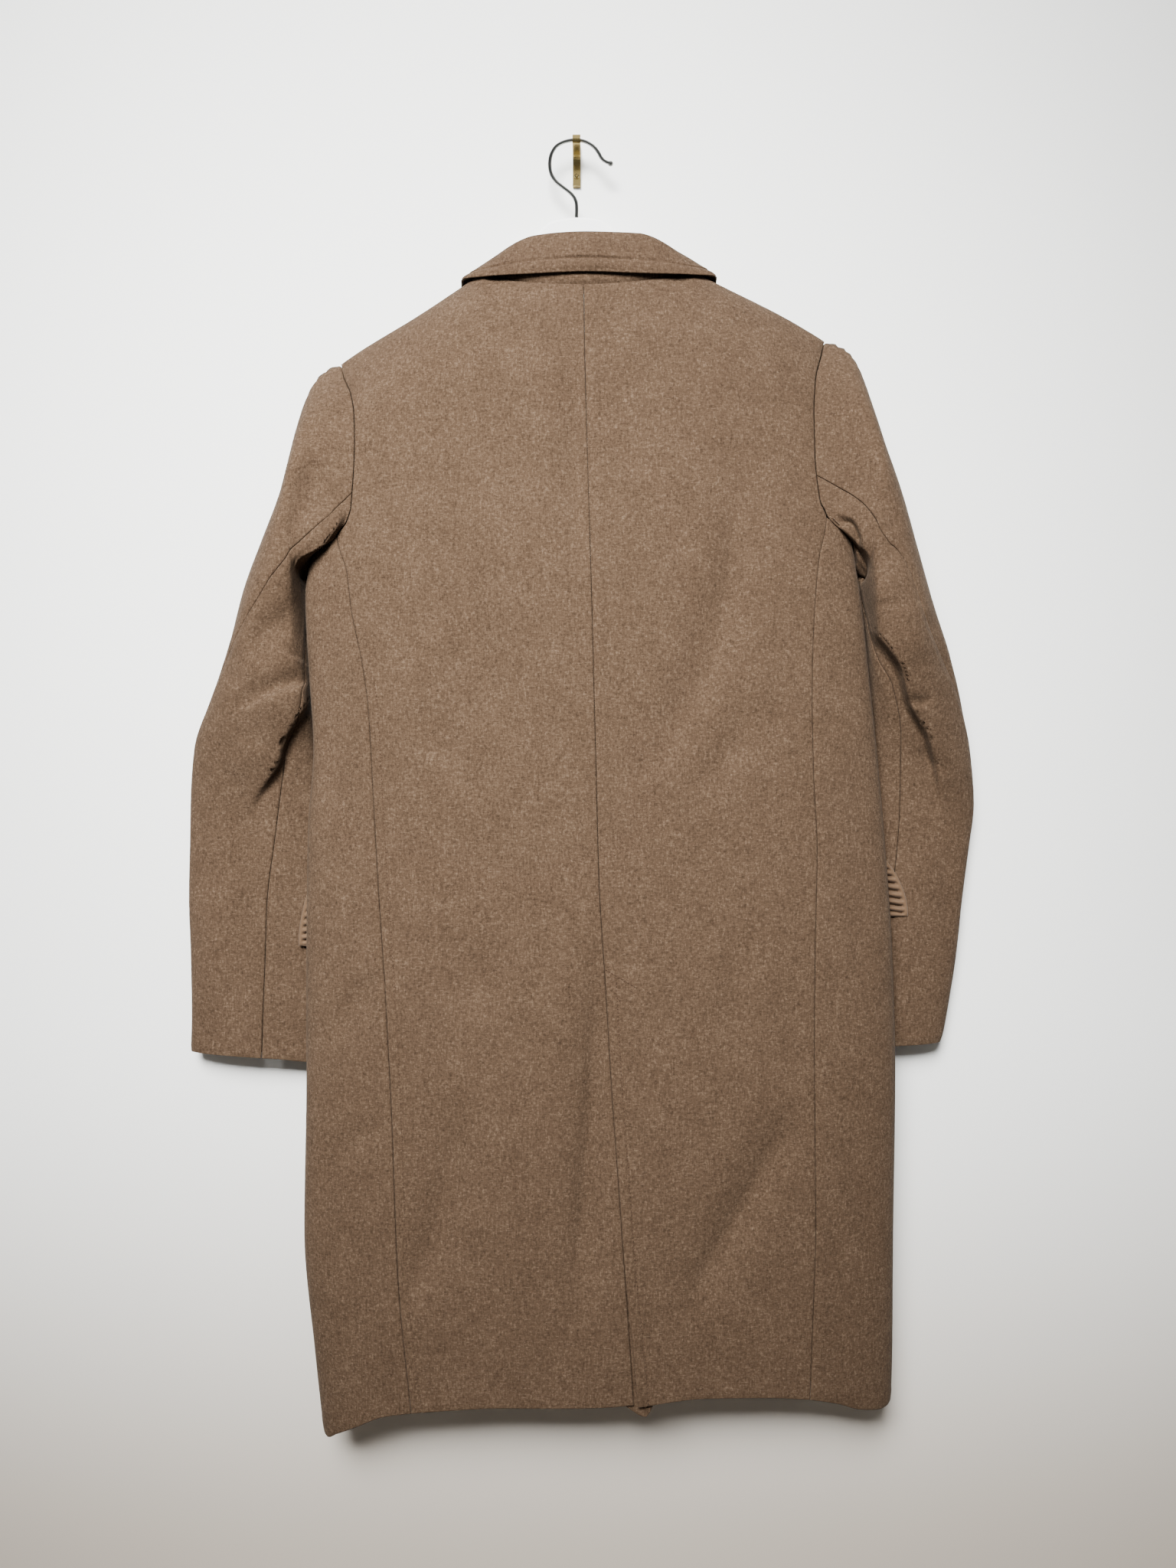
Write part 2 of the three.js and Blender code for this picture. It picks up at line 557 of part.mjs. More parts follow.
// Stations of the sleeves' rings, closest together where the elbow folds.
const STATIONS = [
  0, 0.4, 1, 1.8, 2.6, 3.4, 4.2, 5, 5.6, 6.1, 6.5, 6.9, 7.3, 7.7, 8.1, 8.5, 8.9, 9.4, 10, 10.8, 11.7, 12.8, 14,
];
for (const name of Object.keys(SIDES)) {
  const rows = SLEEVES[name];
  const stations = STATIONS.concat(name === 'right' ? [LAST_STATION.right] : []);
  const pieces = {
    under: { from: (at) => rows.hind(at), to: (at) => rows.front(at), columns: 10 },
    top: { from: (at) => rows.front(at), to: (at) => rows.hind(at) + 360, columns: 12, crown: 360 },
  };
  for (const [pieceName, piece] of Object.entries(pieces)) {
    // The top sleeve's middle column starts at the shoulder point, which is the armhole's crown.
    const turnAt = (u, at) => {
      const from = piece.from(at) + SLEEVE_EDGE_TURN;
      const to = piece.to(at) - SLEEVE_EDGE_TURN;
      const middle = lerp(piece.crown ?? (from + to) / 2, (from + to) / 2, smoothstep(at, 0, 3));
      return u < 0.5 ? lerp(from, middle, 2 * u) : lerp(middle, to, 2 * u - 1);
    };
    const wall = clothWall(
      (u, at) => sleevePoint(name, turnAt(u, at), at),
      evenly(piece.columns),
      stations,
      (u, at, here) => {
        const x = (rows.outerX(at) + rows.innerX(at)) / 2;
        const z = (rows.outerZ(at) + rows.innerZ(at)) / 2;
        return new THREE.Vector3(x, rows.middleY(at), z).sub(here);
      },
      { along: (u, at) => sleeveRun(name, at) },
    );
    addPiece(`${pieceName}_sleeve_${name}`, wall, COLOURS.wool);
  }
}

// ---- Collar: a stand round the neck and a fall that turns down over it ----

// One row for each station from the left front end to the right front end: the neck seam, the
// fold line and the fall's outer edge.
const COLLAR = tableOf(
  ['at', 'seamX', 'seamY', 'seamZ', 'foldX', 'foldY', 'foldZ', 'edgeX', 'edgeY', 'edgeZ'],
  [
    [-5, -66, -14, -170, -64, -6, -178, -103, -5, -192],
    [-4, -83, -22, -126, -79, -9, -122, -113, -5.5, -150],
    [-3.6, -84, -26, -119, -79, -18, -112.5, -111.8, -10.5, -132],
    [-3.3, -84.3, -28.5, -115.5, -79, -24, -106.5, -110.6, -22, -125.5],
    [-3, -84.5, -30.5, -112.6, -79, -30, -102.5, -109.5, -34, -123.8],
    [-2, -70, -41, -123.2, -68, -43, -96, -84, -57, -126],
    [-1, -36, -51.5, -132.8, -38, -53, -90, -42, -68, -128],
    [0, 8, -57.3, -136.5, 8, -57, -87.5, 8, -72, -128],
    [1, 54, -51.5, -131.7, 58, -53, -91, 60, -68, -128],
    [2, 90, -41, -121.2, 91, -43, -97, 108, -57, -124.5],
    [3, 104, -30.5, -110.6, 101, -30, -102, 133.5, -34, -121],
    [3.3, 103.5, -28.5, -113, 100.5, -24, -106, 134.3, -22, -122.3],
    [3.6, 103, -26, -117, 99.5, -18, -112, 134.8, -10.5, -129],
    [4, 102, -23, -124, 98, -10.5, -122, 135, -5.6, -148],
    [5, 86, -16, -168, 84, -6.3, -176, 123, -5.6, -190],
  ],
);
const NECK_AXIS = { x: 10, y: -36 };
const COLLAR_CLOTH = 2.2; // thickness of the collar's wall
const COLLAR_END = 5; // the fall's ends, and the stand's, by their station
const STAND_END = 2.7;
const STAND_GAP = 2.4; // between the stand's upper edge and the turned-in edge of the fall
const FALL_BULGE = 4; // the fall stands out by this much between its edge and its fold
const FOLD_TURN = { inwards: 5.5, down: 7.5 }; // the fall turns in and down over the fold line

function collarPoint(kind, at) {
  return new THREE.Vector3(COLLAR[`${kind}X`](at), COLLAR[`${kind}Y`](at), COLLAR[`${kind}Z`](at));
}

/** The way to the neck's axis from the fold line, level. */
function towardsNeck(at) {
  const fold = collarPoint('fold', at);
  return new THREE.Vector3(NECK_AXIS.x - fold.x, NECK_AXIS.y - fold.y, 0).normalize();
}

/** A point past the fold line, by shares of the fold's turn. */
function turnedIn(at, inwards, down) {
  const point = collarPoint('fold', at).addScaledVector(towardsNeck(at), FOLD_TURN.inwards * inwards);
  point.z -= FOLD_TURN.down * down;
  return point;
}

const fallPoint = (at, v) => {
  const edge = collarPoint('edge', at);
  const fold = collarPoint('fold', at);
  const belly = edge.clone().lerp(fold, 0.5).addScaledVector(towardsNeck(at), -FALL_BULGE);
  const route = [edge, belly, fold, turnedIn(at, 0.85, 0.3), turnedIn(at, 1, 1)];
  return new THREE.CatmullRomCurve3(route).getPoint(clamp(v, 0, 1));
};
const standPoint = (at, v) => {
  const upper = turnedIn(at, 1, 1);
  upper.z -= STAND_GAP;
  return collarPoint('seam', at).lerp(upper, v);
};
const fall = clothWall(
  fallPoint,
  evenly(24).map((u) => lerp(-COLLAR_END, COLLAR_END, u)),
  [0, 0.17, 0.34, 0.5, 0.62, 0.72, 0.84, 1],
  (at) => collarPoint('seam', at).sub(collarPoint('fold', at)).add(new THREE.Vector3(0, 0, -20)),
  { thick: COLLAR_CLOTH },
);
addPiece('collar_fall', fall, COLOURS.wool);
const stand = clothWall(
  standPoint,
  evenly(18).map((u) => lerp(-STAND_END, STAND_END, u)),
  evenly(3),
  (at) => towardsNeck(at).negate().add(new THREE.Vector3(0, 0, -0.6)),
  { thick: COLLAR_CLOTH },
);
addPiece('collar_stand', stand, COLOURS.wool);

// ---- Lapels: turned back on the fronts, from the break line outwards ----
const lapelWidth = smoothCurve([[0, 84], [0.15, 82], [0.43, 66], [0.73, 38], [1, 6]]); // by share of its length
const LAPEL_TOP = { inner: -186, outer: -226 };
const LAPEL_FOOT = { left: BREAK_POINT_Z + 8, right: -386 }; // the right one ends under the left front
for (const [name, side] of Object.entries(SIDES)) {
  const wall = clothWall(
    (u, v) => {
      const z = lerp(lerp(LAPEL_TOP.inner, LAPEL_TOP.outer, u), LAPEL_FOOT[name], v);
      const x = frontEdgeX(side, z) + side.sign * lerp(1, lapelWidth(v), u);
      return new THREE.Vector3(x, frontDepth(side, x, z) + CLOTH + LAY_GAP, z);
    },
    evenly(5),
    evenly(9),
    () => new THREE.Vector3(0, -1, 0),
  );
  addPiece(`lapel_${name}`, wall, COLOURS.wool);
}

// ---- Pocket flaps on the fronts: their free ends stand out past the sides ----
const FLAPS = {
  left: { inner: -118, upperOuter: -259, lowerOuter: -259, upper: -700, lower: -755 },
  right: { inner: 160, upperOuter: 294, lowerOuter: 314, upper: -674, lower: -727 },
};
for (const [name, flap] of Object.entries(FLAPS)) {
  const wall = clothWall(
    (u, v) => {
      const z = lerp(flap.upper, flap.lower, v);
      const x = lerp(flap.inner, lerp(flap.upperOuter, flap.lowerOuter, v), u);
      const onFront = frontDepth(SIDES[name], x, z);
      const y = Math.max(onFront, FOREARM_ROOM_Y) + CLOTH + LAY_GAP;
      return new THREE.Vector3(x, y, z);
    },
    evenly(8),
    evenly(3),
    () => new THREE.Vector3(0, -1, 0),
  );
  addPiece(`flap_${name}`, wall, COLOURS.lining);
}

// ---- Three front buttons, on the left front ----
const BUTTON_HEIGHTS = [-482, -602, -722];
BUTTON_HEIGHTS.forEach((z, i) => {
  const radius = BUTTON.diameter / 2;
  const profile = [
    [0, 0], [radius - 1, 0], [radius, 1], [radius, BUTTON.thick - 0.8], [radius - 1.5, BUTTON.thick],
    [radius - 3.5, BUTTON.thick - 0.9], [0, BUTTON.thick - 0.9],
  ].map(([r, h]) => new THREE.Vector2(r, h));
  const x = centreBack(z) + 2;
  const button = addPiece(`front_button_${i + 1}`, new THREE.LatheGeometry(profile, 20), COLOURS.horn, 0.4);
  button.position.set(x, frontDepth(SIDES.left, x, z) + SEAM_GAP, z);
});

// ---- Hanger: one flat piece of wood with round edges, and a steel hook with a ball end ----

/** Solid of a closed mesh, with its vertices merged. */
function solidOf(geometry) {
  const bare = geometry.clone();
  bare.deleteAttribute('normal');
  bare.deleteAttribute('uv');
  const merged = mergeVertices(bare, 1e-4);
  const mesh = new wasm.Mesh({
    numProp: 3,
    vertProperties: Float32Array.from(merged.attributes.position.array),
    triVerts: Uint32Array.from(merged.index.array),
  });
  return new wasm.Manifold(mesh);
}

function geometryOf(solid) {
  const mesh = solid.getMesh();
  const geometry = new THREE.BufferGeometry();
  geometry.setAttribute('position', new THREE.Float32BufferAttribute(mesh.vertProperties, 3));
  geometry.setIndex(Array.from(mesh.triVerts));
  geometry.computeVertexNormals();
  return geometry;
}

const ARM_DROP = 6.6; // the arms' upper edge lies this far under the shoulder seams
const ARM_DEEP = 20;
const armTop = (x) => (x < 0 ? top.leftShoulder : top.rightShoulder)(x) - ARM_DROP;
const hangerOutline = new THREE.Shape();
hangerOutline.moveTo(-26, -64.5);
hangerOutline.quadraticCurveTo(0, -57, 24, -63);
hangerOutline.bezierCurveTo(56, -82, 78, -129, 118, armTop(118));
[133, 165, 190, 206].forEach((x) => hangerOutline.lineTo(x, armTop(x)));
hangerOutline.quadraticCurveTo(217, armTop(206) - 8, 208, armTop(206) - ARM_DEEP);
hangerOutline.lineTo(150, armTop(150) - ARM_DEEP - 8);
hangerOutline.quadraticCurveTo(0, -92, -130, armTop(-130) - ARM_DEEP - 8);
hangerOutline.lineTo(-196, armTop(-196) - ARM_DEEP);
hangerOutline.quadraticCurveTo(-206, armTop(-196) - 8, -196, armTop(-196));
[-174, -152, -130, -100].forEach((x) => hangerOutline.lineTo(x, armTop(x)));
hangerOutline.bezierCurveTo(-60, -130, -54, -84, -26, -64.5);
const BEVEL = 3;
const hangerGeometry = new THREE.ExtrudeGeometry(hangerOutline, {
  depth: HANGER_THICK - 2 * BEVEL,
  bevelThickness: BEVEL,
  bevelSize: BEVEL,
  bevelOffset: -BEVEL,
  bevelSegments: 2,
  curveSegments: 8,
});
hangerGeometry.rotateX(Math.PI / 2);
hangerGeometry.translate(0, HANGER_Y + (HANGER_THICK - 2 * BEVEL) / 2, 0);
const SOCKET = { depth: 14, mouth: -60.5 };
const socket = new THREE.CylinderGeometry(WIRE / 2 + SEAM_GAP, WIRE / 2 + SEAM_GAP, 2 * SOCKET.depth, 16);
socket.rotateX(Math.PI / 2);
socket.translate(0, HANGER_Y, SOCKET.mouth);
const hangerSolid = solidOf(hangerGeometry).subtract(solidOf(socket));
addPiece('hanger', geometryOf(hangerSolid), COLOURS.hanger, 0.5);

// Centre line of the wire, from the socket round the hook to the ball: x and z.
const WIRE_ROUTE = [
  [0, -72], [0, -60], [-0.2, -46], [-2.2, -40.4], [-6.1, -36], [-12.7, -30.8], [-19.2, -25.6], [-23.8, -19],
  [-25.6, -11.1], [-25.4, -4.5], [-23.1, 3.2], [-19.2, 8.7], [-12.7, 12.4], [-6.1, 14.1], [0.3, 14.5],
  [5.7, 13.8], [12.2, 11.1], [18.1, 6.5], [22, 0.6], [24.6, -3.8], [28.6, -6.6], [32.2, -7.9],
];
const wireCurve = new THREE.CatmullRomCurve3(WIRE_ROUTE.map(([x, z]) => new THREE.Vector3(x, HANGER_Y, z)));
const wireSection = new THREE.Shape().absarc(0, 0, WIRE / 2, 0, 2 * Math.PI);
const wire = new THREE.ExtrudeGeometry(wireSection, { steps: 44, curveSegments: 4, extrudePath: wireCurve });
const BALL = { radius: 2.5, x: 32.6, z: -8.1 };
const ball = new THREE.SphereGeometry(BALL.radius, 12, 8);
ball.translate(BALL.x, HANGER_Y, BALL.z);
addPiece('hanger_hook', geometryOf(solidOf(wire).add(solidOf(ball))), COLOURS.steel, 0.3, 1);

// ---- Wall hook: plate and arm bent from one brass bar, and its screw ----
const WIRE_REST_Z = 14.1; // centre of the wire where it bears on the arm
const ARM = { top: WIRE_REST_Z - WIRE / 2 - SEAM_GAP, thick: 4.2, reach: 30, tip: 16.5 };
const hookProfile = new THREE.Shape();
hookProfile.moveTo(0, PLATE.bottom);
hookProfile.lineTo(PLATE.thick, PLATE.bottom);
hookProfile.lineTo(PLATE.thick, ARM.top - ARM.thick - 8);
hookProfile.quadraticCurveTo(PLATE.thick, ARM.top - ARM.thick, PLATE.thick + 8, ARM.top - ARM.thick);
hookProfile.lineTo(ARM.reach - 2, ARM.top - ARM.thick);
hookProfile.quadraticCurveTo(ARM.reach + 2, ARM.top - ARM.thick, ARM.reach + 2, ARM.top);
hookProfile.lineTo(ARM.reach + 2, ARM.tip - 1);
hookProfile.quadraticCurveTo(ARM.reach + 0.5, ARM.tip + 1, ARM.reach - 1.5, ARM.tip - 1);
hookProfile.lineTo(ARM.reach - 2, ARM.top + 1.5);
hookProfile.quadraticCurveTo(ARM.reach - 2.5, ARM.top, ARM.reach - 4, ARM.top);
hookProfile.lineTo(PLATE.thick, ARM.top);
hookProfile.lineTo(PLATE.thick, PLATE.top);
hookProfile.lineTo(0, PLATE.top);
const hookGeometry = new THREE.ExtrudeGeometry(hookProfile, {
  depth: PLATE.width,
  bevelEnabled: false,
  curveSegments: 5,
});
hookGeometry.rotateX(Math.PI / 2);
hookGeometry.rotateZ(-Math.PI / 2);
hookGeometry.translate(PLATE.width / 2, 0, 0);
addPiece('wall_hook', hookGeometry, COLOURS.brass, 0.25, 1);

const SCREW = { radius: 2.6, head: 1.6, z: -11 };
const screwProfile = [
  [0, 0], [SCREW.radius, 0], [SCREW.radius * 0.8, SCREW.head * 0.7], [SCREW.radius * 0.4, SCREW.head],
  [0, SCREW.head],
].map(([r, h]) => new THREE.Vector2(r, h));
const screw = addPiece('hook_screw', new THREE.LatheGeometry(screwProfile, 16), COLOURS.brass, 0.3, 1);
screw.rotation.x = Math.PI;
screw.position.set(0, -PLATE.thick - SEAM_GAP, SCREW.z);

export default coat;
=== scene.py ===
import math

import bpy
import numpy as np
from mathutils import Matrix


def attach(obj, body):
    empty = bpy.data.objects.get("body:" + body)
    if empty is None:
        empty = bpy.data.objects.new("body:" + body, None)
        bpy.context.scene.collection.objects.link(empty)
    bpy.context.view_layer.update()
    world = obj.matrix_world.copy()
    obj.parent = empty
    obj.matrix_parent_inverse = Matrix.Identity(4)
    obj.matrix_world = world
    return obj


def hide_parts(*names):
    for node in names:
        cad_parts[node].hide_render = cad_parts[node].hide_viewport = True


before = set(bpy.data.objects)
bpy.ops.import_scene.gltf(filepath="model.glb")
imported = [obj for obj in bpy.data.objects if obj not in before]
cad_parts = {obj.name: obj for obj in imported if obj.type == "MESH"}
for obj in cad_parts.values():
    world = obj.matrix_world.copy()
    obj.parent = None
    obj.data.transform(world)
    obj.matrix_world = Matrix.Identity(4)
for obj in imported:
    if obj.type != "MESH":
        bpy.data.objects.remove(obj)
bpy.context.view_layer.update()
MM = 0.001

# ---- Room: a pale wall, a pale floor, soft light from the upper left, and the camera ----
# The wall is the plane that the brass hook's plate lies on. It is seen through from behind and
# lets the rear lamp's light pass, so that the side of the coat towards the wall can be seen too.
WALL_SIZE = 7.0
WALL_TOP = 1.6
FLOOR_LEVEL = -1.75
WALL_COLOUR = (0.79, 0.795, 0.77, 1)
PAINTED_SHADE_WALL_COLOUR = (0.40, 0.355, 0.30, 1)
SHADE_FADE_TOP = -0.8  # painted shade: below this height the wall's colour is mixed towards a darker, warmer one, in place of shade and warm bounced light low in the room
SHADE_FADE_BOTTOM = -1.4
FLOOR_COLOUR = (0.34, 0.28, 0.22, 1)
SKY_COLOUR = (0.90, 0.93, 0.96, 1)
SKY_STRENGTH = 0.20
CAMERA_PLACE = (0.011, -1.238, -0.6016)
CAMERA_LENS = 29.13


def rectangle(name, corner, across, up):
    """One four-sided face from a corner along two ways, in metres."""
    corner, across, up = np.array([corner, across, up], float)
    corners = np.array([corner, corner + across, corner + across + up, corner + up])
    mesh = bpy.data.meshes.new(name)
    mesh.from_pydata(corners.tolist(), [], [(0, 1, 2, 3)])
    obj = bpy.data.objects.new(name, mesh)
    bpy.context.scene.collection.objects.link(obj)
    return obj


def feed(tree, value, socket):
    """Links a node's output to a socket, or sets the socket's own value."""
    if isinstance(value, bpy.types.NodeSocket):
        tree.links.new(value, socket)
    else:
        socket.default_value = value


def add_node(tree, kind, inputs, **properties):
    """Adds a node, sets its properties and feeds its inputs, which are named or numbered."""
    node = tree.nodes.new(kind)
    for name, value in properties.items():
        setattr(node, name, value)
    for name, value in inputs.items():
        feed(tree, value, node.inputs[name])
    return node


def colour_mix(tree, share, first, second):
    """Mix of two colours by a share."""
    inputs = {"Factor": share, 6: first, 7: second}
    return add_node(tree, "ShaderNodeMix", inputs, data_type="RGBA").outputs[2]


def smooth_range(tree, value, low, high):
    """0 where a value is low, 1 where it is high, smooth between them."""
    inputs = {"Value": value, "From Min": low, "From Max": high}
    ramp = add_node(tree, "ShaderNodeMapRange", inputs, interpolation_type="SMOOTHSTEP")
    return ramp.outputs["Result"]


def object_place(tree):
    """Each point's place in its object's own axes, which are the frame's."""
    return add_node(tree, "ShaderNodeTexCoord", {}).outputs["Object"]


def new_material(name, **values):
    """Material with one Principled shader. A value's name is its input's, with _ for each space."""
    material = bpy.data.materials.new(name)
    material.use_nodes = True
    shader = material.node_tree.nodes["Principled BSDF"]
    for key, value in values.items():
        shader.inputs[key.replace("_", " ")].default_value = value
    return material, material.node_tree, shader


half = WALL_SIZE / 2
wall = rectangle("wall", (-half, 0, FLOOR_LEVEL), (WALL_SIZE, 0, 0), (0, 0, WALL_TOP - FLOOR_LEVEL))
floor = rectangle("floor", (-half, -half, FLOOR_LEVEL), (WALL_SIZE, 0, 0), (0, WALL_SIZE, 0))

wall_paint_and_shade, tree, shader = new_material("wall_paint_and_shade", Roughness=0.8)
# Painted shade: below a height the wall's colour is mixed towards a darker, warmer one, standing in for shade
# and warm bounced light low in the room.
height = add_node(tree, "ShaderNodeSeparateXYZ", {0: object_place(tree)}).outputs["Z"]
painted_shade_share = smooth_range(tree, height, SHADE_FADE_TOP, SHADE_FADE_BOTTOM)
feed(tree, colour_mix(tree, painted_shade_share, WALL_COLOUR, PAINTED_SHADE_WALL_COLOUR), shader.inputs["Base Color"])
behind = add_node(tree, "ShaderNodeNewGeometry", {}).outputs["Backfacing"]
in_shadow = add_node(tree, "ShaderNodeLightPath", {}).outputs["Is Shadow Ray"]
either = add_node(tree, "ShaderNodeMath", {0: behind, 1: in_shadow}, operation="MAXIMUM").outputs[0]
clear = add_node(tree, "ShaderNodeBsdfTransparent", {}).outputs[0]
mix = add_node(tree, "ShaderNodeMixShader", {"Fac": either, 1: shader.outputs[0], 2: clear})
feed(tree, mix.outputs[0], tree.nodes["Material Output"].inputs["Surface"])
wall.data.materials.append(wall_paint_and_shade)
floor.data.materials.append(new_material("floor_paint", Roughness=0.7, Base_Color=FLOOR_COLOUR)[0])

# Each lamp: place, the point it faces, size, power in watts and the angle over which it fades out.
LAMPS = {
    "window": ((-0.45, -2.1, 0.8), (-0.10, 0.0, -0.44), 1.2, 42, 50),
    "ceiling": ((0.1, -1.1, 1.2), (0.0, 0.0, -0.2), 1.3, 10, 180),
    "rear": ((0.8, 2.2, 0.2), (0.0, 0.0, -0.6), 1.6, 30, 180),
}
for name, (place, target, size, power, fade_angle) in LAMPS.items():
    lamp = bpy.data.lights.new(name, "AREA")
    lamp.size = size
    lamp.energy = power
    lamp.spread = math.radians(fade_angle)
    lamp_object = bpy.data.objects.new(name, lamp)
    lamp_object.location = place
    way = np.array(target) - np.array(place)
    tilt = math.acos(-way[2] / np.linalg.norm(way))
    lamp_object.rotation_euler = (tilt, 0, math.atan2(-way[0], way[1]))
    lamp_object.visible_camera = False
    lamp_object.visible_glossy = name != "window"
    bpy.context.scene.collection.objects.link(lamp_object)

world = bpy.data.worlds.new("room")
world.use_nodes = True
world.node_tree.nodes["Background"].inputs["Color"].default_value = SKY_COLOUR
world.node_tree.nodes["Background"].inputs["Strength"].default_value = SKY_STRENGTH
bpy.context.scene.world = world

camera_data = bpy.data.cameras.new("camera")
camera_data.lens = CAMERA_LENS
camera = bpy.data.objects.new("camera", camera_data)
camera.location = CAMERA_PLACE
camera.rotation_euler = (math.pi / 2, 0, 0)
bpy.context.scene.collection.objects.link(camera)
bpy.context.scene.camera = camera

# ---- Backs: two panels of wool melton, joined down the middle, with a vent at the bottom ----
# Both panels run from the shoulder and neck seams to the hem. Below the vent's top the right one
# laps over the left one, with a row of stitches beside its edge.
CLOTH = 2.4
SEAM_GAP = 0.3
LAY_GAP = 0.5
BACK_ROUND = 2.5
FRONT_ROUND = 3
BACK_ROLL = 100
FRONT_ROLL = 30
LEFT_FRONT_Y = -9
UNDER_FRONT_Y = -12.4
RIGHT_FRONT_Y = -9.6
FRONT_LAP = 24
FOREARM_ROOM_Y = -39
BREAK_POINT_Z = -470
VENT_TOP = -735
HEM_Z = -1171


def smooth_curve(pairs):
    """
    Cubic through (key, value) pairs. Each slope is the harmonic mean of the two beside it, or 0
    at a turn.
    """
    keys, values = np.array(sorted(pairs), float).T
    widths = np.diff(keys)
    slopes = np.diff(values) / widths
    before, after = slopes[:-1], slopes[1:]
    same_way = before * after > 0
    inner = np.where(same_way, 2 * before * after / np.where(same_way, before + after, 1), 0)
    tangents = np.concatenate([slopes[:1], inner, slopes[-1:]])

    def curve(key):
        key = np.clip(np.asarray(key, float), keys[0], keys[-1])
        i = np.clip(np.searchsorted(keys, key) - 1, 0, len(widths) - 1)
        s = (key - keys[i]) / widths[i]
        blend = s * s * (3 - 2 * s)
        bend_start = s * (1 - s) ** 2 * widths[i] * tangents[i]
        bend_end = s * s * (s - 1) * widths[i] * tangents[i + 1]
        return values[i] * (1 - blend) + values[i + 1] * blend + bend_start + bend_end

    return curve


def table_of(names, rows):
    """Named columns of a table, each as a smooth curve over the first column."""
    columns = list(zip(*rows))
    return {name: smooth_curve(list(zip(columns[0], column))) for name, column in zip(names[1:], columns[1:])}


def smoothstep(value, low, high):
    """0 below low, 1 above high, and 3s^2 - 2s^3 between them."""
    s = np.clip((np.asarray(value, float) - low) / (high - low), 0, 1)
    return s * s * (3 - 2 * s)


def lerp(a, b, share):
    """Straight mix of a and b."""
    return a + (b - a) * share


body = table_of(
    ["z", "left", "right", "back", "side"],
    [
        [-100, -226, 238, -62, -24],
        [-178, -226, 238, -68, -24],
        [-200, -226, 240, -70, -25],
        [-300, -238, 252, -78, -36],
        [-396, -250, 262, -88, -44],
        [-423, -254, 266, -89, -46],
        [-500, -250, 274, -91, -48],
        [-568, -246, 281, -92, -48],
        [-650, -251, 288, -93, -49],
        [-757, -252, 295, -94, -50],
        [-871, -252, 298, -95, -50],
        [-1017, -254, 296, -97, -50],
        [-1129, -244, 295, -99, -50],
        [-1210, -235, 292, -100, -50],
    ],
)

NECK_LEFT = -88
NECK_RIGHT = 108
NAPE_Z = -137
SHOULDER_LEFT = (-226, -200)
SHOULDER_RIGHT = (238, -178)
left_shoulder = smooth_curve([SHOULDER_LEFT, (-202, -185), (-152, -156), (-108, -128), (NECK_LEFT, -115)])
neck_seam = smooth_curve(
    [(NECK_LEFT, -115), (-62, -127), (-30, -134.5), (8, NAPE_Z), (48, -133.5), (82, -125), (NECK_RIGHT, -113)]
)
right_shoulder = smooth_curve([(NECK_RIGHT, -113), (133, -125), (198, -156), SHOULDER_RIGHT])
top_edge_depth = smooth_curve(
    [
        (SHOULDER_LEFT[0], -23), (NECK_LEFT, -29), (-62, -43), (-30, -55), (8, -60), (48, -56), (82, -44),
        (NECK_RIGHT, -29), (SHOULDER_RIGHT[0], -23),
    ]
)
centre_back = smooth_curve(
    [
        (NAPE_Z, 7), (-253, 9), (-336, 11), (-419, 14), (-516, 16.5), (-613, 19), (-689, 21), (-772, 26),
        (-862, 31), (-972, 39), (-1083, 47), (-1170, 53),
    ]
)
back_hem = smooth_curve(
    [
        (-149, -1171), (-103, -1166), (-74, -1164), (-8, -1163), (53, -1161), (115, -1155), (177, -1156),
        (212, -1159),
    ]
)
# Each side's seams: x over height for the back's edge and the armhole's front, and height over the
# share of the side panel's width for its upper edge and its hem.
SIDES = {
    "left": {
        "sign": -1,
        "neck_x": NECK_LEFT,
        "shoulder": SHOULDER_LEFT,
        "back_seam_top": -374,
        "front_seam_top": -382,
        "back_edge": smooth_curve(
            [
                (-200, -226), (-216, -221), (-233, -213), (-255, -208), (-290, -206), (-345, -208),
                (-360, -212), (-374, -221), (-406, -211), (-443, -206), (-495, -195), (-531, -190),
                (-613, -185), (-697, -180), (-783, -174), (-892, -168), (-1054, -161), (-1171, -149),
            ]
        ),
        "armhole_front": smooth_curve(
            [(-200, -226), (-230, -207), (-260, -199), (-300, -196), (-345, -199), (-382, -207)]
        ),
        "armhole_bottom": smooth_curve([(0, -374), (0.3, -388), (0.57, -396), (0.8, -392), (1, -382)]),
        "hem": smooth_curve(
            [
                (0, -1171), (0.1, -1177), (0.2, -1188), (0.33, -1199), (0.43, -1205.5), (0.5, -1204),
                (0.57, -1198), (0.72, -1195), (1, -1196),
            ]
        ),
    },
    "right": {
        "sign": 1,
        "neck_x": NECK_RIGHT,
        "shoulder": SHOULDER_RIGHT,
        "back_seam_top": -355,
        "front_seam_top": -370,
        "back_edge": smooth_curve(
            [
                (-178, 238), (-194, 233), (-223, 225), (-262, 222), (-295, 222), (-340, 226), (-355, 232),
                (-394, 224), (-430, 220), (-480, 217), (-533, 216), (-597, 217), (-660, 220), (-753, 218),
                (-851, 217), (-1005, 218), (-1088, 215), (-1159, 212),
            ]
        ),
        "armhole_front": smooth_curve(
            [(-178, 238), (-210, 219), (-250, 211), (-300, 208), (-340, 211), (-370, 219)]
        ),
        "armhole_bottom": smooth_curve([(0, -355), (0.3, -374), (0.57, -397), (0.8, -388), (1, -370)]),
        "hem": smooth_curve(
            [(0, -1159), (0.1, -1165), (0.2, -1173), (0.35, -1177), (0.56, -1174), (0.75, -1173), (1, -1176)]
        ),
    },
}


def top_edge(x):
    """Height of the shoulder and neck seams over x."""
    past_left = np.where(x < NECK_RIGHT, neck_seam(x), right_shoulder(x))
    return np.where(x <= NECK_LEFT, left_shoulder(x), past_left)


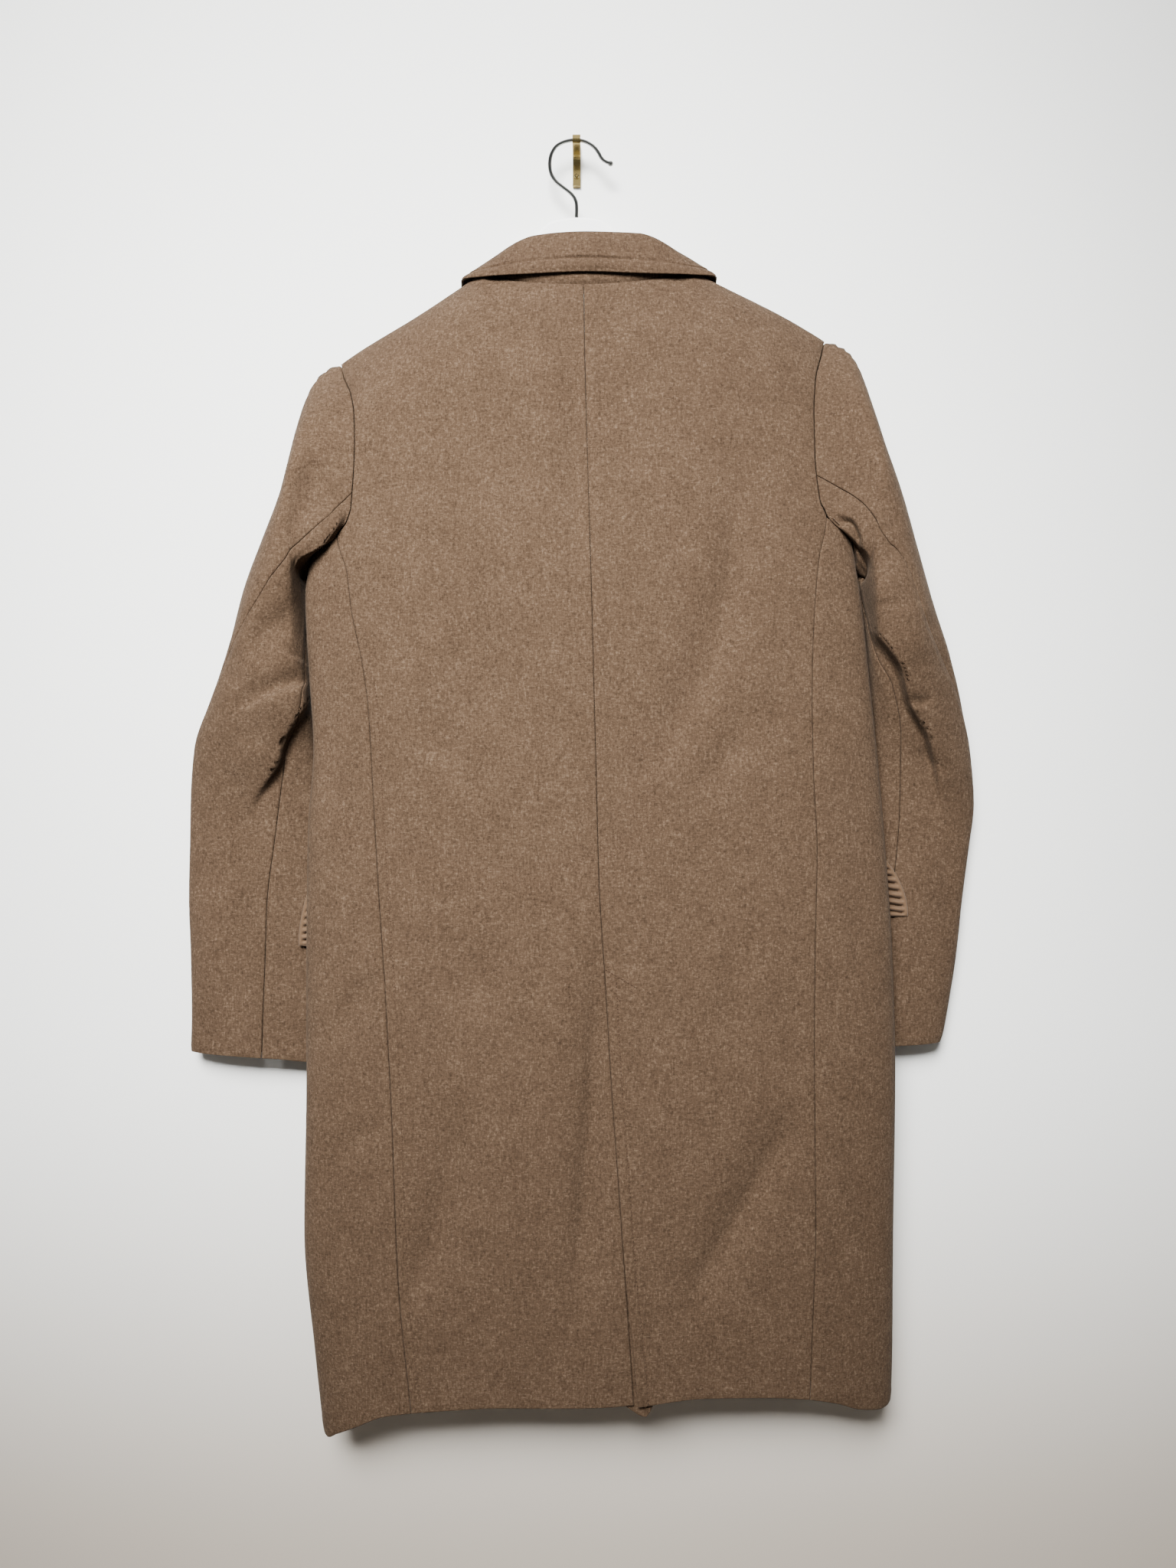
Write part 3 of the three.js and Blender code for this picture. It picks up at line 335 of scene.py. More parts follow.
def rounded(points):
    """A line of points with its corners cut off twice."""
    points = np.array(points, float)
    for _ in range(2):
        cuts = [lerp(points[:-1], points[1:], share) for share in (0.25, 0.75)]
        points = np.concatenate([points[:1], np.stack(cuts, 1).reshape(-1, 2), points[-1:]])
    return points


def along_line(x, z, points):
    """
    Signed distance from a line of points (left of its run is above 0), the share along it, and
    the level unit vector across it to its right side.
    """
    points = rounded(points)
    runs = np.diff(points, axis=0)
    lengths = np.linalg.norm(runs, axis=1)
    before = np.concatenate([[0], np.cumsum(lengths)[:-1]])
    best = np.full(np.shape(x), 1e9)
    side, place, across_x, across_z = np.zeros((4,) + np.shape(x))
    for (x0, z0), run, length, start in zip(points, runs, lengths, before):
        share = np.clip(((x - x0) * run[0] + (z - z0) * run[1]) / length**2, 0, 1)
        dx = x - x0 - share * run[0]
        dz = z - z0 - share * run[1]
        distance = np.hypot(dx, dz)
        nearer = distance < best
        best = np.where(nearer, distance, best)
        side = np.where(nearer, np.where(run[0] * dz - run[1] * dx > 0, 1, -1), side)
        place = np.where(nearer, (start + share * length) / lengths.sum(), place)
        across_x = np.where(nearer, dx, across_x)
        across_z = np.where(nearer, dz, across_z)
    scale = -side / np.maximum(best, 0.2)
    return best * side, place, across_x * scale, across_z * scale


def fading(place, start, end):
    """1 along a fold, fading in and out over the shares start and end of its length."""
    return smoothstep(place, 0, max(start, 1e-3)) * (1 - smoothstep(place, 1 - max(end, 1e-3), 1))


def bell(value, middle, width):
    """exp(-((value - middle) / width)^2)."""
    return np.exp(-(((value - middle) / width) ** 2))


def crease(x, z, points, height, soft, steep, groove=0, start=0.25, end=0.25):
    """
    Height of a fold that runs along a line of points. Left of its run it falls off softly and
    right of it steeply, each as a bell over its own width, down to a groove.
    """
    distance, place = along_line(x, z, points)[:2]
    fold = height * bell(distance, 0, np.where(distance > 0, soft, steep))
    return fading(place, start, end) * (fold - groove * bell(distance, -1.5 * steep, 1.1 * steep))


def lean_over(x, z, points, reach, soft, steep, start, end):
    """Sideways shift of a fold's crest over its steep side, so that it hangs over its foot."""
    distance, place, across_x, across_z = along_line(x, z, points)
    near = bell(distance, 0, np.where(distance > 0, 0.6 * soft, steep))
    shift = reach * fading(place, start, end) * near
    return shift * across_x, shift * across_z


# Folds of the hanging back: from (x0, z0) to (x1, z1), bowed sideways, about twice width wide.
BACK_FOLDS = [
    # x0, z0, x1, z1, bow, width, depth
    (-7, -215, 3, -410, 0, 15, 5),
    (-112, -270, -43, -590, -26, 21, 6),
    (-131, -525, -88, -615, -4, 18, 4),
    (150, -285, 62, -605, 26, 22, 7),
    (167, -520, 112, -612, 6, 18, 4),
    (-102, -735, -97, -820, 5, 20, 3),
    (-118, -880, -150, -1080, 14, 22, 6),
    (200, -885, 98, -1090, 0, 24, 6),
    (20, -740, 2, -1120, 2, 21, 8),
    (147, -735, 143, -860, 0, 16, 3),
    (-176, -770, -236, -850, 0, 13, 4),
    (-188, -905, -238, -975, 0, 14, 4),
]
# Smaller creases on them: line of points, height (a trough's is below 0), soft and steep widths.
BACK_CREASES = [
    ([(-119, -454), (-140, -500), (-160, -550)], 2.2, 12, 9),
    ([(-2, -240), (1, -320), (4, -395)], -2.0, 7, 5),
    ([(12, -300), (17, -420), (20, -520)], 1.2, 10, 10),
    ([(-105, -290), (-103, -420), (-88, -500), (-60, -570)], -1.6, 9, 8),
    ([(148, -320), (142, -420), (126, -495), (98, -545)], -2.0, 10, 8),
    ([(171, -474), (167, -530), (160, -575)], 1.8, 10, 12),
    ([(19, -758), (15, -903), (9, -952), (4, -1069)], -3.4, 8, 7),
    ([(199, -896), (158, -979), (116, -1041), (102, -1090)], -2.4, 11, 9),
    ([(-112, -902), (-113, -944), (-130, -1013), (-147, -1062)], -2.4, 12, 9),
    ([(-88, -979), (-92, -1010)], 1.6, 12, 12),
    ([(-184, -772), (-205, -800), (-223, -813)], -1.8, 8, 7),
    ([(-216, -896), (-232, -960), (-226, -1050)], -1.6, 9, 9),
    ([(-200, -930), (-212, -990), (-236, -1030)], 1.4, 9, 9),
    ([(255, -560), (262, -700), (258, -820)], -1.4, 12, 10),
    ([(240, -905), (262, -980), (270, -1060)], -1.8, 12, 10),
]


def slack(x, z):
    """Slow uneven waves of cloth that hangs free: sines of different ways and lengths, in mm."""
    first = np.sin(x / 29 + 1.4 * np.sin(z / 90) + 0.6) * np.sin(z / 118 + 0.4 * np.sin(x / 47))
    second = np.sin((x + 0.5 * z) / 38 + 0.9) * np.sin((z - 0.3 * x) / 71 + 2.1)
    third = np.sin(z / 44 + 1.7 * np.sin(x / 61)) * np.sin(x / 83 + 1.1)
    return 0.7 * first + 0.5 * second + 0.35 * third


def side_share(x, z):
    """Share of the half width at which x lies: 0 in the middle, 1 on a side line."""
    left, right = body["left"](z), body["right"](z)
    return np.minimum(1, np.abs(x - (left + right) / 2) / ((right - left) / 2))


def roll_over(x, z, depth, height, shift):
    """Rolls a depth over from the top edge: a quarter round of the given height."""
    down = np.clip((top_edge(x) - z) / height, 0, 1)
    edge = top_edge_depth(x) + shift
    return edge + (depth - edge) * np.sqrt(1 - (1 - down) ** 2)


def oval_depth(share, side, middle, power):
    """Depth of the oval section at a share of its half width: |share|^p + |depth|^p = 1."""
    return side + (middle - side) * (1 - share**power) ** (1 / power)


def back_depth(x, z):
    """Depth of the back's outer face: an oval section with folds, rolled over at the shoulders."""
    share = side_share(x, z)
    depth = oval_depth(share, body["side"](z), body["back"](z), BACK_ROUND)
    folds = np.zeros(np.shape(depth))
    for x0, z0, x1, z1, bow, width, sink in BACK_FOLDS:
        along = np.clip((z - z0) / (z1 - z0), 0, 1)
        middle = lerp(x0, x1, along) + 4 * bow * along * (1 - along)
        folds = folds + sink * np.sin(np.pi * along) ** 0.8 * bell(x, middle, width)
    for points, height, soft, steep in BACK_CREASES:
        folds = folds - crease(x, z, points, height, soft, steep)
    folds = folds - slack(x, z)
    return roll_over(x, z, depth + folds * (1 - share**8), BACK_ROLL, -SEAM_GAP / 2)


EDGE_STEPS = np.array([0, 0.4, 0.9, 1.5, 2.3, 3.4, 5.0])  # a grid's first lines from its edge
EDGE_ROUND = 2.6  # the wall's edges round off over this distance
EDGE_SINK = 0.46  # and lose this share of the wall's thickness on each face
SEAM_RIDGE = 0.35  # height and width of the swelling over a seam allowance
SEAM_WIDTH = 11
# Far points on the two sides of the coat: towards the wall and towards the room.
WALLWARDS = np.array([0.0, 500.0, -600.0])
ROOMWARDS = np.array([0.0, -500.0, -600.0])


def spread(length, step):
    """Shares from 0 to 1 of a length, about step apart, and closer together by both ends."""
    count = max(2, round((length - 2 * EDGE_STEPS[-1]) / step))
    middle = np.linspace(EDGE_STEPS[-1], length - EDGE_STEPS[-1], count + 1)[1:-1]
    return np.concatenate([EDGE_STEPS, middle, length - EDGE_STEPS[::-1]]) / length


def grid_normals(face):
    """Unit normals of a grid of points: the cross product of its differences both ways."""
    normals = np.cross(np.gradient(face, axis=1), np.gradient(face, axis=0))
    return normals / np.maximum(np.linalg.norm(normals, axis=2, keepdims=True), 1e-9)


def run_lengths(face, axis):
    """Distance along the grid's lines from their start to each point."""
    steps = np.linalg.norm(np.diff(face, axis=axis), axis=2)
    return np.insert(np.cumsum(steps, axis=axis), 0, 0, axis=axis)


def edge_distance(face):
    """Distance of each grid point from the nearest edge, along the grid's lines."""
    across, down = run_lengths(face, 1), run_lengths(face, 0)
    sides = np.minimum(across, across[:, -1:] - across)
    return np.minimum(sides, np.minimum(down, down[-1:] - down))


def wall_faces(columns, rows):
    """Quads of the outer grid, the inner grid and the rim between them."""
    index = np.arange(columns * rows).reshape(rows, columns)
    a, b, c, d = index[:-1, :-1], index[:-1, 1:], index[1:, 1:], index[1:, :-1]
    outer = np.stack([a, b, c, d], -1).reshape(-1, 4)
    inner = outer[:, ::-1] + columns * rows
    rim = np.concatenate([index[0, :], index[1:, -1], index[-1, -2::-1], index[-2::-1, 0]])
    around = np.stack([rim[1:], rim[:-1], rim[:-1] + columns * rows, rim[1:] + columns * rows], -1)
    return outer, inner, around


def place_mesh(name, points, quads, uvs=None, kinds=None):
    """Makes a smooth mesh object of points in mm and quads, with its place in its mesh."""
    mesh = bpy.data.meshes.new(name)
    mesh.from_pydata((points * MM).tolist(), [], quads.tolist())
    if uvs is not None:
        layer = mesh.uv_layers.new(name="UVMap")
        corners = np.zeros(len(mesh.loops), np.int32)
        mesh.loops.foreach_get("vertex_index", corners)
        layer.data.foreach_set("uv", (uvs[corners] * MM).ravel())
    if kinds is not None:
        mesh.polygons.foreach_set("material_index", kinds)
    mesh.polygons.foreach_set("use_smooth", np.ones(len(mesh.polygons), bool))
    mesh.update()
    obj = bpy.data.objects.new(name, mesh)
    bpy.context.scene.collection.objects.link(obj)
    return obj


def make_cloth(
    node, face, towards, materials, thick=CLOTH, ridge=SEAM_RIDGE,
):
    """
    Closed wall of cloth over a grid of outer points, in its CAD node's place. The inner face is
    the outer one moved by the thickness along the normal that points to towards. Both faces
    round off at the edges, and the outer one swells a little over the seam allowances beside
    them.
    """
    normals = grid_normals(face)
    if np.sum(normals * (towards - face)) < 0:
        normals = -normals
    distance = edge_distance(face)
    into = np.clip(1 - distance / EDGE_ROUND, 0, 1)
    sink = EDGE_SINK * thick * (1 - np.sqrt(1 - into**2))
    swell = ridge * np.sin(np.pi * np.clip((distance - EDGE_ROUND) / SEAM_WIDTH, 0, 1)) ** 2
    outer = face + normals * (sink - swell)[..., None]
    inner = face + normals * (thick - sink)[..., None]
    points = np.concatenate([outer.reshape(-1, 3), inner.reshape(-1, 3)])
    rows, columns = face.shape[:2]
    quads, inner_quads, rim = wall_faces(columns, rows)
    faces = np.concatenate([quads, inner_quads, rim])
    corners = points[quads[:, :3]]
    facing = np.cross(corners[:, 1] - corners[:, 0], corners[:, 2] - corners[:, 0])
    if np.sum(facing * normals.reshape(-1, 3)[quads[:, 0]]) > 0:
        faces = faces[:, ::-1]
    kinds = np.zeros(len(faces), np.int32)
    kinds[len(quads) : len(quads) + len(inner_quads)] = 1
    lines = np.stack([run_lengths(face, 1), run_lengths(face, 0)], -1).reshape(-1, 2)
    obj = place_mesh(f"cloth_{node}", points, faces, np.concatenate([lines, lines]), kinds)
    for material in materials:
        obj.data.materials.append(material)
    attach(obj, "root")
    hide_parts(node)


# Wool melton: a felted cloth of mixed light and dark fibres, soft, matt and a little hairy.
WOOL_LIGHT = (0.114, 0.0785, 0.052, 1)
WOOL_MIDDLE = (0.0545, 0.0345, 0.0215, 1)
WOOL_DARK = (0.0205, 0.0128, 0.0078, 1)
FLECKS = 0.85  # how far the light and dark fibres stand out
wool, wool_tree, shader = new_material(
    "wool_melton",
    Roughness=0.94,
    Sheen_Weight=0.03,
    Sheen_Roughness=0.55,
    Sheen_Tint=(0.95, 0.82, 0.68, 1),
    Specular_IOR_Level=0.12,
)
wool_place = object_place(wool_tree)


def noise(scale, detail, roughness, stretch=(1, 1, 1)):
    """Noise texture of the wool, with its scale stretched along each axis."""
    mapping = add_node(wool_tree, "ShaderNodeMapping", {"Vector": wool_place, "Scale": stretch})
    inputs = {"Vector": mapping.outputs[0], "Scale": scale, "Detail": detail, "Roughness": roughness}
    return add_node(wool_tree, "ShaderNodeTexNoise", inputs).outputs["Fac"]


def combine(operation, first, second):
    """Two values of the wool added, subtracted or multiplied."""
    return add_node(wool_tree, "ShaderNodeMath", {0: first, 1: second}, operation=operation).outputs[0]


mixed = combine("MULTIPLY", noise(430, 4, 0.75), 0.55)
mixed = combine("ADD", mixed, combine("MULTIPLY", noise(520, 2, 0.6, (1.6, 1.0, 0.35)), 0.25))
mixed = combine("ADD", mixed, combine("MULTIPLY", noise(560, 2, 0.6, (0.35, 1.0, 1.7)), 0.2))
clouds = combine("MULTIPLY", combine("SUBTRACT", noise(32, 3, 0.6), 0.5), 0.10)
cloudy = combine("ADD", mixed, clouds)
dimness = combine("SUBTRACT", 1.0, cloudy)
darker = combine("MULTIPLY", smooth_range(wool_tree, dimness, 0.46, 0.66), FLECKS)
lighter = combine("MULTIPLY", smooth_range(wool_tree, cloudy, 0.50, 0.68), FLECKS)
hairs = smooth_range(wool_tree, noise(760, 1, 0.5, (0.25, 1.0, 1.9)), 0.66, 0.74)
specks = smooth_range(wool_tree, noise(380, 2, 0.5), 0.68, 0.76)
colour = colour_mix(wool_tree, darker, WOOL_MIDDLE, WOOL_DARK)
colour = colour_mix(wool_tree, lighter, colour, WOOL_LIGHT)
colour = colour_mix(wool_tree, combine("MULTIPLY", hairs, 0.5), colour, WOOL_LIGHT)
colour = colour_mix(wool_tree, combine("MULTIPLY", specks, 0.55), colour, WOOL_DARK)
nap = combine("ADD", mixed, combine("MULTIPLY", hairs, 0.25))
bump = add_node(wool_tree, "ShaderNodeBump", {"Strength": 0.55, "Distance": 0.0009, "Height": nap})
feed(wool_tree, colour, shader.inputs["Base Color"])
feed(wool_tree, bump.outputs["Normal"], shader.inputs["Normal"])

# Lining: plain satin with a soft gloss and faint ripples. Its colour is painted lighter on the ripples'
# crests and darker in their troughs: painted highlight and shade.
LINING_CREST_HIGHLIGHT = (0.102, 0.0624, 0.036, 1)
LINING_TROUGH_SHADE = (0.068, 0.0416, 0.024, 1)
lining, tree, shader = new_material("satin_lining", Roughness=0.42, Sheen_Weight=0.1)
mapping = add_node(tree, "ShaderNodeMapping", {"Vector": object_place(tree), "Scale": (1, 1, 0.3)})
ripples = add_node(tree, "ShaderNodeTexNoise", {"Vector": mapping.outputs[0], "Scale": 60, "Detail": 3})
bump_inputs = {"Strength": 0.4, "Distance": 0.002, "Height": ripples.outputs["Fac"]}
bump = add_node(tree, "ShaderNodeBump", bump_inputs)
# Painted highlight and shade: the colour follows the ripples' height, lighter on the crests and darker in the
# troughs.
colour = colour_mix(tree, ripples.outputs["Fac"], LINING_TROUGH_SHADE, LINING_CREST_HIGHLIGHT)
feed(tree, colour, shader.inputs["Base Color"])
feed(tree, bump.outputs["Normal"], shader.inputs["Normal"])
OUT_AND_IN = (wool, lining)  # the materials of a wall's outer and inner face

BACK_MIDDLE_Z = -362
VENT_FADE = 60  # height over which the vent's edges part
VENT_STITCH = 10  # distance of its stitches from its edge
MIDDLE_SEAM = 0.13  # distances of a back's edges from the middle of their seams
SIDE_SEAM = 0.1


def vent_step(side_sign, x, z):
    """Depth change beside the vent: the right panel's edge stands proud and the left one's sinks."""
    below = smoothstep(-z, -VENT_TOP, -VENT_TOP + VENT_FADE)
    distance = np.abs(x - centre_back(z))
    if side_sign > 0:
        return -1.9 * below * bell(distance, 0, 15)
    return 2.2 * below * bell(distance, 0, 17)


def vent_opening(z):
    """Width by which the right panel's edge swings clear of the left one's near the hem."""
    return 3.2 * smoothstep(-z, 1030, 1150)


def back_face(side, u, v):
    """
    Outer face of a back panel. u runs from the middle to the side and v from the top edge (0) by
    the armhole's foot (1) to the hem (2). x is mixed between the two seams' lines at that height.
    """
    edge, sign = side["back_edge"], side["sign"]
    top_z = top_edge(lerp(centre_back(NAPE_Z), side["shoulder"][0], u))
    middle_z = lerp(BACK_MIDDLE_Z, side["back_seam_top"], u * u)
    hem_z = back_hem(lerp(centre_back(HEM_Z), edge(HEM_Z), u))
    z = np.where(v <= 1, lerp(top_z, middle_z, v), lerp(middle_z, hem_z, v - 1))
    start = centre_back(z) + sign * MIDDLE_SEAM + (vent_opening(z) if sign > 0 else 0)
    x = lerp(start, edge(z) - sign * SIDE_SEAM, u)
    return np.stack([x, back_depth(x, z) + vent_step(sign, x, z), z], -1)


# Stitches: rows of short threads, a little darker than the wool.
thread = new_material("sewing_thread", Roughness=0.6, Base_Color=(0.040, 0.023, 0.014, 1))[0]
STITCH_PITCH = 3.3
STITCH_LENGTH = 2.3
STITCH_THICK = 0.42
STITCH_BOW = 0.34
STITCH_RINGS = np.array([-0.5, -0.34, 0, 0.34, 0.5])  # along a stitch, in shares of its length
STITCH_WIDTHS = np.array([0.15, 0.9, 1, 0.9, 0.15])
STITCH_SIDES = 6


def stitch_row(name, start, end, place):
    """
    Row of stitches along place(t) from start to end: each a thread bowed out of the cloth, six
    sided and pointed at both ends. place gives points on the face, and t is in mm.
    """
    centres = np.arange(start, end, STITCH_PITCH)
    points = place(centres[:, None] + STITCH_RINGS * STITCH_LENGTH)
    points[..., 1] -= STITCH_BOW * (1 - (2 * STITCH_RINGS) ** 2)
    run = np.gradient(points, axis=1)
    run /= np.linalg.norm(run, axis=2, keepdims=True)
    out = np.array([0.0, -1.0, 0.0])
    side = np.cross(run, out)
    turns = np.linspace(0, 2 * np.pi, STITCH_SIDES, endpoint=False)
    ring = side[:, :, None] * np.cos(turns)[:, None] + out * np.sin(turns)[:, None]
    points = points[:, :, None] + ring * (STITCH_THICK * STITCH_WIDTHS)[:, None, None]
    index = np.arange(points[..., 0].size).reshape(points.shape[:3])
    a, b = index[:, :-1], index[:, 1:]
    quads = np.stack([a, np.roll(a, -1, 2), np.roll(b, -1, 2), b], -1).reshape(-1, 4)
    obj = place_mesh(name, points.reshape(-1, 3), quads)
    obj.data.materials.append(thread)
    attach(obj, "root")
    return obj


STEP = 4.2  # usual distance between the lines of a panel's grid
STITCH_LINES = np.arange(7.5, 14, 0.8)  # extra lines of the grid beside an edge with stitches
SEAM_STITCH = 9  # distance of the left side seam's stitches from it
SEAM_STITCH_TOP = -505
VENT_STITCH_TOP = -768
VENT_EDGE_STITCHES = (778, 1158)  # depths below the origin between which a row runs
SIDE_SEAM_STITCHES = (-SEAM_STITCH_TOP, 1158)
SLANT_START = 1.5  # of the stitches across the vent's top, out of the corner
SLANT_LENGTH = 30
SLANT_OUT = 0.86  # their way outwards and down, for each mm
SLANT_DOWN = 0.5
BACK_WIDTH = 200
upper_rows = spread(240, STEP)[: -len(EDGE_STEPS)]
lower_rows = 1 + spread(800, STEP)[len(EDGE_STEPS) :]
PANEL_ROWS = np.concatenate([upper_rows, [0.99, 1.002], lower_rows])


def stitch_groove(side, x, z):
    """Depth by which the stitches draw the cloth in, beside the vent and the left side seam."""
    if side["sign"] > 0:
        line = centre_back(z) + vent_opening(z) + VENT_STITCH
        along = smoothstep(-z, -VENT_TOP, -VENT_TOP + 25)
    else:
        line = side["back_edge"](z) + SEAM_STITCH
        along = smoothstep(-z, -SEAM_STITCH_TOP, -SEAM_STITCH_TOP + 25)
    return along * (0.75 * bell(x, line, 1.5) - 0.35 * bell(x, line, 4.5))


def on_back(side, x, z):
    """Points on a back panel's face, drawn in along its stitches."""
    depth = back_depth(x, z) + vent_step(side["sign"], x, z) + stitch_groove(side, x, z)
    return np.stack([x, depth, z], -1)


def beside_vent(t):
    """The right back's stitches, 10 mm from the vent's edge; t is the depth below the origin."""
    x = centre_back(-t) + vent_opening(-t) + VENT_STITCH
    return on_back(SIDES["right"], x, -t)


def across_vent_top(t):
    """The slanting stitches that close the vent's top, from the middle outwards."""
    x = centre_back(VENT_STITCH_TOP) + SLANT_START + SLANT_OUT * t
    return on_back(SIDES["right"], x, VENT_STITCH_TOP - SLANT_START - SLANT_DOWN * t)


def beside_side_seam(t):
    """The left back's stitches, 9 mm from the side seam."""
    return on_back(SIDES["left"], SIDES["left"]["back_edge"](-t) + SEAM_STITCH, -t)


BACK_STITCHES = {
    "left": [stitch_row("stitches_side_seam", *SIDE_SEAM_STITCHES, beside_side_seam)],
    "right": [
        stitch_row("stitches_vent_edge", *VENT_EDGE_STITCHES, beside_vent),
        stitch_row("stitches_vent_top", 0, SLANT_LENGTH, across_vent_top),
    ],
}
for name, side in SIDES.items():
    extra = STITCH_LINES / BACK_WIDTH if name == "right" else 1 - STITCH_LINES / BACK_WIDTH
    columns = np.concatenate([spread(BACK_WIDTH, STEP), extra])
    u, v = np.meshgrid(np.unique(np.round(columns, 5)), PANEL_ROWS)
    face = back_face(side, u, v)
    face[..., 1] += stitch_groove(side, face[..., 0], face[..., 2])
    make_cloth(f"back_{name}", face, WALLWARDS, OUT_AND_IN)

# ---- Vent underlap: the left back's extension, behind the right back's edge ----
# It carries on the left panel's surface under the right one and hangs a little longer.
UNDERLAP_GAP = 1.3
UNDERLAP_START = -12  # from the centre-back seam
UNDERLAP_END = 40
underlap_foot = smooth_curve([(0, -1160), (0.42, -1173), (0.62, -1158), (1, -1150)])
u, v = np.meshgrid(spread(UNDERLAP_END - UNDERLAP_START, 3.5), spread(430, STEP))
z = lerp(VENT_TOP, underlap_foot(u), v)
x = centre_back(z) + lerp(UNDERLAP_START, UNDERLAP_END, u)
depth = back_depth(x, z) + vent_step(-1, x, z) + CLOTH + UNDERLAP_GAP
make_cloth("vent_underlap", np.stack([x, depth, z], -1), WALLWARDS, OUT_AND_IN)

# ---- Side panels: from the side-back seam round the side to the side-front seam ----
# Narrow panels that turn the body's corner, cut away under the arm.
FRONT_SEAM_AT = 0.84
FRONT_MIDDLE_Z = -360
FRONT_HEM_MIDDLE = -1176
BODY_MIDDLE = np.array([20.0, -45.0, -800.0])
PANEL_GAP = 0.0005  # share of its width by which a side panel clears its seams


def front_depth(sign, x, z):
    """Depth of a front's outer face: the oval's flat side, sunk where the forearms lie on it."""
    clear_of_lap = smoothstep(x - centre_back(z), FRONT_LAP + 12, FRONT_LAP + 70)
    middle = LEFT_FRONT_Y if sign < 0 else lerp(UNDER_FRONT_Y, RIGHT_FRONT_Y, clear_of_lap)
    share = side_share(x, z)
    depth = oval_depth(share, body["side"](z), middle, FRONT_ROUND)
    at_side = smoothstep(share, 0.25, 0.5)
    at_forearm = smoothstep(-z, 560, 625) * (1 - smoothstep(-z, 885, 960))
    pushed = np.where(depth > FOREARM_ROOM_Y, lerp(depth, FOREARM_ROOM_Y, at_side * at_forearm), depth)
    return roll_over(x, z, pushed, FRONT_ROLL, SEAM_GAP / 2)


def side_face(side, w, v):
    """
    Outer face of a side panel: w turns round the oval from the back seam to the front seam, and
    v runs from under the arm (1) to the hem (2).
    """
    z = lerp(side["armhole_bottom"](w), side["hem"](w), v - 1)
    left, right = body["left"](z), body["right"](z)
    middle, half_width = (left + right) / 2, (right - left) / 2
    back_turn = np.arccos((np.abs(side["back_edge"](z) - middle) / half_width) ** (BACK_ROUND / 2))
    front_turn = math.acos(FRONT_SEAM_AT ** (FRONT_ROUND / 2))
    turn = lerp(back_turn, -front_turn, w)
    power = np.where(turn > 0, BACK_ROUND, FRONT_ROUND)
    x = middle + side["sign"] * half_width * np.cos(turn) ** (2 / power)
    y = np.where(turn > 0, back_depth(x, z), front_depth(side["sign"], x, z))
    return np.stack([x, y, z], -1)


for name, side in SIDES.items():
    w, v = np.meshgrid(lerp(PANEL_GAP, 1 - PANEL_GAP, spread(120, 3.5)), 1 + spread(800, STEP))
    make_cloth(f"side_{name}", side_face(side, w, v), BODY_MIDDLE, OUT_AND_IN)

# ---- Fronts: from the side-front seam to the front edge, the left one lapping over the right ----
# They hang towards the wall. The lapels turn back from their upper edges.
FRONT_GAP = 0.0003  # share of its width by which a front clears the side seam


def front_edge(side, z):
    """x of the front edge: straight from the neck point to the top button, then along the middle."""
    overlap = -side["sign"] * FRONT_LAP
    neck_z = top_edge(side["neck_x"])
    down = np.clip((neck_z - z) / (neck_z - BREAK_POINT_Z), 0, 1)
    return np.where(
        z <= BREAK_POINT_Z,
        centre_back(z) + overlap,
        lerp(side["neck_x"], centre_back(BREAK_POINT_Z) + overlap, down),
    )


def front_face(side, u, v):
    """
    Outer face of a front: u runs from the armhole and side seam to the front edge, v as on a back.
    Its top follows the shoulder seam.
    """
    top_x = lerp(side["shoulder"][0], side["neck_x"], u)
    top_z = top_edge(top_x)
    middle_z = lerp(side["front_seam_top"], FRONT_MIDDLE_Z, 1 - (1 - u) ** 2)
    hem_z = lerp(side["hem"](1), FRONT_HEM_MIDDLE, u)
    z = np.where(v <= 1, lerp(top_z, middle_z, v), lerp(middle_z, hem_z, v - 1))
    left, right = body["left"](z), body["right"](z)
    seam = (left + right) / 2 + side["sign"] * (right - left) / 2 * FRONT_SEAM_AT
    outer = np.where(v < 1, side["armhole_front"](z), seam)
    x = lerp(outer, front_edge(side, z), u)
    to_seam = top_x - lerp(side["armhole_front"](top_z), front_edge(side, top_z), u)
    x = x + to_seam * (1 - smoothstep(v, 0, 0.4))
    return np.stack([x, front_depth(side["sign"], x, z), z], -1)


for name, side in SIDES.items():
    u, v = np.meshgrid(lerp(FRONT_GAP, 1, spread(220, 6)), PANEL_ROWS)
    make_cloth(f"front_{name}", front_face(side, u, v), ROOMWARDS, OUT_AND_IN)

